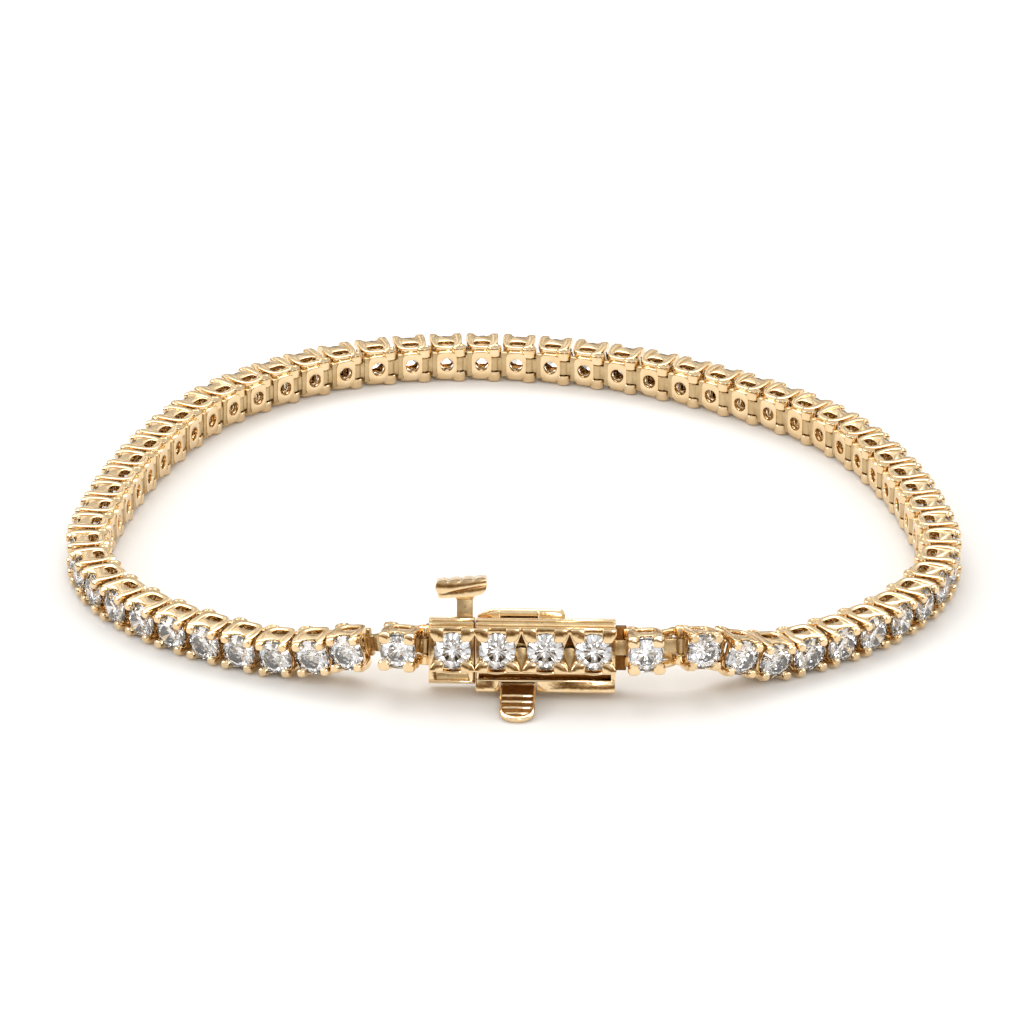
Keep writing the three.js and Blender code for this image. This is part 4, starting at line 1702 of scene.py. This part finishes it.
    def _housing(self) -> Casting:
        """The block beside the box that carries the spring.

        Returns:
            The casting.
        """
        s = self.sizes
        left, right = self.layout.housing_left, self.layout.housing_right
        x = self.layout.tongue_stone_x
        body = Form.block((left, right), (s.front, s.back), (s.housing_bottom, s.housing_top))
        pocket = Form.block(
            (right - 1.85, right + 1), (s.leaf_middle - 0.65, s.leaf_middle + 0.65),
            (-2.0, s.housing_top + 1),
        )
        panel = Form.block(
            (x - 1.13, x + 1.13), (s.front - 1, s.front + 0.14), (s.slot_bottom, s.slot_top),
        )
        eye_room = Form.block((left - 1, left + 0.34), (-0.62, 0.62), (-0.54, 0.54))
        tools = (self._top_slope(), pocket, panel, self._cup(x), eye_room)
        casting = Casting().add(body.cut(*tools).softened(0.07, 2))
        casting.add(self._relief((x,), left + 0.06, right - 0.02))
        casting.add(*self._prongs(x), self._gallery_edge(x))
        base = Form.prism([
            (s.rim_front + 0.02, -2.26), (s.rim_front, s.housing_bottom + 0.1),
            (s.rim_front + 0.1, s.housing_bottom), (s.rim_front + 0.5, s.housing_bottom),
            (s.rim_front + 0.5, -2.26),
        ], Axis.X, left + 0.02, right - 0.01).softened(0.05, 2)
        leaf = Form.block(
            (right - 1.95, 3.85), (s.leaf_middle - 0.5, s.leaf_middle + 0.5), (-1.8, -1.45),
        )
        link = BasketLink(knuckle=(self.layout.housing_hinge_x, 0.02))
        return casting.add(base, leaf.softened(0.05), *link.knuckle_forms())

    def _spring(self) -> Casting:
        """The V spring's upper leaf and the stem on its end.

        Returns:
            The casting.
        """
        s = self.sizes
        foot = s.stem_x + s.stem_half
        profile = [(foot, 1.15), (foot, 0.8), (3.5, -1.33), (3.85, -1.33), (3.85, -0.98)]
        leaf = Form.prism(profile, Axis.Y, s.leaf_middle - 0.5, s.leaf_middle + 0.5).softened(0.04)
        stem = Form.block(
            (s.stem_x - s.stem_half, foot), (s.leaf_middle - 0.4, s.leaf_middle + 0.4),
            (0.8, s.stem_top + s.collar_height),
        ).softened(0.05)
        return Casting().add(leaf, stem)

    def _push_piece(self) -> Casting:
        """The ridged thumb piece and its collar.

        Returns:
            The casting.
        """
        s = self.sizes
        half = s.head_width / 2
        outline = [
            (-half + 0.08, 0.30), (-half + 0.10, 0.02), (-half + 0.4, -0.08), (half - 0.9, -0.08),
            (half - 0.35, 0.06), (half - 0.1, 0.30), (half, 0.62),
        ]
        pitch = s.head_width / s.head_ridges
        for i in reversed(range(s.head_ridges)):
            middle = -half + (i + 0.5) * pitch
            outline += [
                (middle + pitch * 0.49 * c, s.head_thickness - 0.11 + 0.13 * d)
                for c, d in circle(12)[:7]
            ]
        outline.append((-half - 0.06, 0.72))
        head = Form.prism(outline, Axis.Y, -s.head_depth / 2 - 0.04, s.head_depth / 2)
        front = -s.head_depth / 2
        groove = Form.prism(
            [(-half + 0.5, 0.26), (half + 0.1, 0.62), (half + 0.1, 0.80), (-half + 1.2, 0.46)],
            Axis.Y, front - 0.5, front + 0.5,
        )
        shelf = Form.prism(
            [(-half - 0.5, 0.34), (-half + 0.55, 0.30), (half + 0.5, 0.68), (half + 0.5, -0.5),
             (-half - 0.5, -0.5)],
            Axis.Y, front - 0.5, front + 0.06,
        )
        head = head.cut(groove, shelf).softened(0.07, 3, 30)
        place = Matrix.Translation(Vector((
            s.stem_x + s.head_shift, s.leaf_middle, s.stem_top + s.collar_height * 0.7,
        )))
        turn = place @ Matrix.Rotation(-s.head_slope, 4, "Y")
        low, high = s.stem_top, s.stem_top + s.collar_height + 0.1
        w, d = s.collar_width / 2, s.head_depth * 0.4
        rings = []
        for share, z in ((0.74, low), (0.8, low + 0.12), (1.0, high - 0.14), (1.02, high)):
            rings.append([
                Vector((s.stem_x + a * w * share, s.leaf_middle + b * d * share, z))
                for a, b in ((-1, -1), (1, -1), (1, 1), (-1, 1))
            ])
        collar = Form.skin(rings).softened(0.05)
        return Casting().add(head.moved(turn), collar)

    def _tab_frame(self) -> Matrix:
        """The tab's frame: Z up along it from its root, Y through its thickness.

        Returns:
            The frame, in the clasp's own.
        """
        s = self.sizes
        root = Vector((
            s.catch_middle, s.rim_front, s.box_bottom - s.catch_gap - s.catch_thickness / 2,
        ))
        return Matrix.Translation(root) @ Matrix.Rotation(-s.tab_angle, 4, "X")

    @staticmethod
    def _tab_plate(half: float, root: float, length: float, bow: float, steps: int,
                   faces: Point2) -> Form:
        """A plate with a rounded free end, in the tab's frame.

        Args:
            half: Half its width.
            root: Where it starts, along the tab.
            length: How far its free end is from the tab's root.
            bow: The end's roundness, as a share of half the width.
            steps: Steps round the end.
            faces: Where its two faces lie through the tab's thickness.

        Returns:
            The plate.
        """
        end = half * bow - length
        points = [(half, root)]
        for k in range(steps + 1):
            angle = math.pi * k / steps
            points.append((half * math.cos(angle), end - half * bow * math.sin(angle)))
        points.append((-half, root))
        return Form.skin([[Vector((x, y, z)) for x, z in points] for y in faces])

    def _catch(self) -> Casting:
        """The plate behind the box, the neck under it and the tab.

        Returns:
            The casting.
        """
        s = self.sizes
        back, bottom = s.back + s.catch_gap, s.box_bottom - s.catch_gap
        t = s.catch_thickness
        outline = [
            (back, s.barrel_z), (back, bottom), (s.rim_front - 0.1, bottom),
            (s.rim_front - 0.1, bottom - t), (back + t - 0.15, bottom - t),
            (back + t, bottom - t + 0.15), (back + t, s.barrel_z),
        ]
        half = s.tab_width / 2
        left, right = s.catch_middle - half, s.catch_middle + half
        plate = Form.prism(outline, Axis.X, left, right).softened(0.06, 2)
        r = s.barrel_radius
        barrel = Form.turned([
            (r * 0.93, s.catch_left), (r, s.catch_left + 0.04), (r, s.catch_right - 0.04),
            (r * 0.93, s.catch_right),
        ], 28, Axis.X, (0, s.barrel_y, s.barrel_z))
        thick = s.tab_thickness / 2
        tab = self._tab_plate(half, 0.2, s.tab_length, 0.82, 14, (-thick, thick)).softened(0.1, 3)
        return Casting().add(plate, barrel, tab.moved(self._tab_frame()))

    def _catch_recess_shade(self) -> Casting:
        """Painted shade in dark brown gold: between the ribs and in the notch of the rim.

        Returns:
            The casting.
        """
        s = self.sizes
        half, thick = s.tab_width / 2 - 0.14, s.tab_thickness / 2
        bottom = s.box_bottom - s.catch_gap
        neck = Form.block(
            (s.catch_middle - half, s.catch_middle + half),
            (s.rim_front - 0.14, s.rim_front - 0.06),
            (bottom - s.catch_thickness + 0.06, bottom - 0.02),
        ).softened(0.02)
        ground = self._tab_plate(
            half, -0.2, s.tab_length * 0.93, 0.7, 10, (-thick - 0.015, -thick + 0.06),
        )
        return Casting().add(neck, ground.moved(self._tab_frame()))

    def _tab_ribs(self) -> None:
        """The ribs across the tab."""
        s = self.sizes
        section = [(0.5 * c, 0.5 * d) for c, d in circle(12)]
        half = s.tab_width / 2
        path = [Vector((x * half, 0, 0)) for x in (-0.94, -0.9, -0.8, 0.8, 0.9, 0.94)]
        sizes = [0.08, 0.2, 0.27, 0.27, 0.2, 0.08]
        rib = Casting().add(Form.bar(path, [v * 1.15 for v in sizes], sizes, corners=section))
        master = rib.to_object("rib_master", self.finishes.gold)
        frames, lengths = [], []
        tab = self._tab_frame()
        for share, width in ((0.34, 0.98), (0.51, 0.97), (0.68, 0.9), (0.84, 0.72)):
            place = Vector((0, -s.tab_thickness / 2 + 0.02, -s.tab_length * share))
            frames.append(self.line.clasp @ tab @ Matrix.Translation(place))
            lengths.append(width)
        laid = self.string.lay("tab_ribs", master, frames, self.finishes.gold, lengths)
        bpy.data.objects.remove(master)
        hand_in(laid, CATCH_BODY, Slot.GOLD)

    def _stones(self) -> None:
        """The clasp's four brilliants."""
        diameter = self.layout.clasp_stone_diameter
        places = {f"clasp_stone_{i + 1}": x for i, x in enumerate(self.box_stones)}
        places["tongue_stone"] = self.layout.tongue_stone_x
        for node, x in places.items():
            cut = Casting().add(Brilliant(diameter=diameter).form())
            turn = Matrix.Rotation(0.4 + x, 4, "Y")
            place = self.line.clasp @ Matrix.Translation(Vector((x, 0, 0))) @ turn
            obj = cut.to_object(f"{node}_cut", self.finishes.diamond, place, smooth_angle=0)
            hand_in(obj, WHOLE_BODY, Slot.DIAMOND, node)


# Set


@dataclass
class Studio:
    """Floor, light and camera.

    Each wall of surrounding light is its first colour, then the height and colour of each stop. Its
    low brown band gives the metal the dark streaks that polished gold shows.
    """

    target: Point3 = (-0.114, 3.613, 0.0)
    elevation: float = 25.91
    distance: float = 600.0
    lens: float = 283.5
    front_wall: tuple = (
        "#DCC9A4", (0.09, "#4E2F12"), (0.20, "#A0845C"), (0.34, "#F2EEE8"), (0.60, "#FFFFFF"),
    )
    back_wall: tuple = (
        "#D9CDB8", (0.06, "#7E6540"), (0.16, "#ECE5DA"), (0.42, "#FFFBF4"), (0.85, "#FFFFFF"),
    )
    lamp_noise: Point2 = (0.36, 0.64)
    lamp_strength: Point2 = (0.5, 1.3)

    def floor(self, finish: bpy.types.Material) -> None:
        """Lays the floor under the bracelet.

        Args:
            finish: The floor's material.
        """
        bm = bmesh.new()
        bmesh.ops.create_grid(bm, x_segments=8, y_segments=8, size=1.5)
        mesh = bpy.data.meshes.new("floor")
        bm.to_mesh(mesh)
        mesh.materials.append(finish)
        place_object("floor", mesh)

    def camera(self) -> None:
        """Places the camera at the photograph's viewing angle."""
        data = bpy.data.cameras.new("camera")
        data.lens = self.lens
        data.sensor_width = 36
        data.clip_start = 0.01
        data.clip_end = 10
        angle = math.radians(self.elevation)
        obj = place_object("camera", data)
        away = Vector((0, -math.cos(angle), math.sin(angle))) * self.distance
        obj.location = (Vector(self.target) + away) * MM
        obj.rotation_euler = Euler((math.pi / 2 - angle, 0, 0))
        bpy.context.scene.camera = obj

    def area(self, name: str, place: Point3, size: Point2, power: float, colour: str) -> None:
        """Adds a soft box that faces the bracelet.

        Args:
            name: The light's name.
            place: Where it hangs, in millimetres.
            size: Its width and height, in millimetres.
            power: Its power in watts.
            colour: Its colour.
        """
        data = bpy.data.lights.new(name, "AREA")
        data.shape = "RECTANGLE"
        data.size, data.size_y = size[0] * MM, size[1] * MM
        data.energy = power
        data.color = linear(colour)[:3]
        obj = place_object(name, data)
        obj.location = Vector(place) * MM
        obj.rotation_euler = Vector(place).to_track_quat("Z", "Y").to_euler()

    def light(self) -> None:
        """Hangs the soft boxes and sets the surrounding light."""
        self.area("top_box", (-40, 240, 380), (420, 260), 1.15, "#FFFFFF")
        self.area("left_box", (-420, -120, 220), (260, 260), 0.75, "#FFFFFF")
        self.area("right_box", (420, -60, 200), (220, 260), 0.5, "#FFF9F2")
        self.area("front_strip", (80, -420, 260), (60, 260), 0.3, "#FFFFFF")
        world = bpy.data.worlds.new("studio")
        world.use_nodes = True
        tree = world.node_tree
        place = add_node(tree, "ShaderNodeTexCoord")
        split = add_node(tree, "ShaderNodeSeparateXYZ", links={
            "Vector": place.outputs["Generated"],
        })
        sides = []
        for first, *stops in (self.front_wall, self.back_wall):
            ramp = add_node(tree, "ShaderNodeValToRGB", links={"Fac": split.outputs["Z"]})
            ramp.color_ramp.elements[0].color = linear(first)
            ramp.color_ramp.elements[1].position = stops[-1][0]
            ramp.color_ramp.elements[1].color = linear(stops[-1][1])
            for position, colour in stops[:-1]:
                ramp.color_ramp.elements.new(position).color = linear(colour)
            sides.append(ramp.outputs["Color"])
        turn = add_node(tree, "ShaderNodeMapRange", {"interpolation_type": "SMOOTHSTEP"}, {
            "Value": split.outputs["Y"], "From Min": -0.45, "From Max": 0.35,
        })
        room = add_node(tree, "ShaderNodeMix", {"data_type": "RGBA"}, {
            "Factor": turn.outputs["Result"], "A": sides[0], "B": sides[1],
        })
        lamps = add_node(tree, "ShaderNodeTexNoise", links={
            "Vector": place.outputs["Generated"], "Scale": 6.0, "Detail": 2.0,
        })
        power = add_node(tree, "ShaderNodeMapRange", links={
            "Value": lamps.outputs["Fac"],
            "From Min": self.lamp_noise[0], "From Max": self.lamp_noise[1],
            "To Min": self.lamp_strength[0], "To Max": self.lamp_strength[1],
        })
        tree.links.new(room.outputs["Result"], tree.nodes["Background"].inputs["Color"])
        tree.links.new(power.outputs["Result"], tree.nodes["Background"].inputs["Strength"])
        bpy.context.scene.world = world


def main() -> None:
    """Builds the bracelet and its set."""
    logging.basicConfig(level=logging.INFO, format="%(name)s %(message)s")
    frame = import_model()
    bpy.context.scene.view_settings.view_transform = "Standard"
    studio = Studio()
    studio.camera()
    finishes = Finishes.build()
    line = ChainLine(ChainSizes())
    hinge = next(j for j in frame["joints"] if j["name"] == "catch_hinge")
    sizes = ClaspSizes()
    pin = Vector((sizes.catch_middle, sizes.barrel_y, sizes.barrel_z))
    line.settle(pin, Vector(hinge["pos_m"]) / MM)
    LOG.info("shift %s mm, loop %.2f mm", line.shift.to_tuple(4), line.sizes.loop_length)
    string = LinkString()
    Chain(line, finishes, string).build()
    Clasp(line, finishes, string).build()
    for name, node in frame["nodes"].items():
        node.data.materials.clear()
        node.data.materials.append(finishes.diamond if "stone" in name else finishes.gold)
    studio.floor(finishes.floor)
    studio.light()


if __name__ == "__main__":
    main()
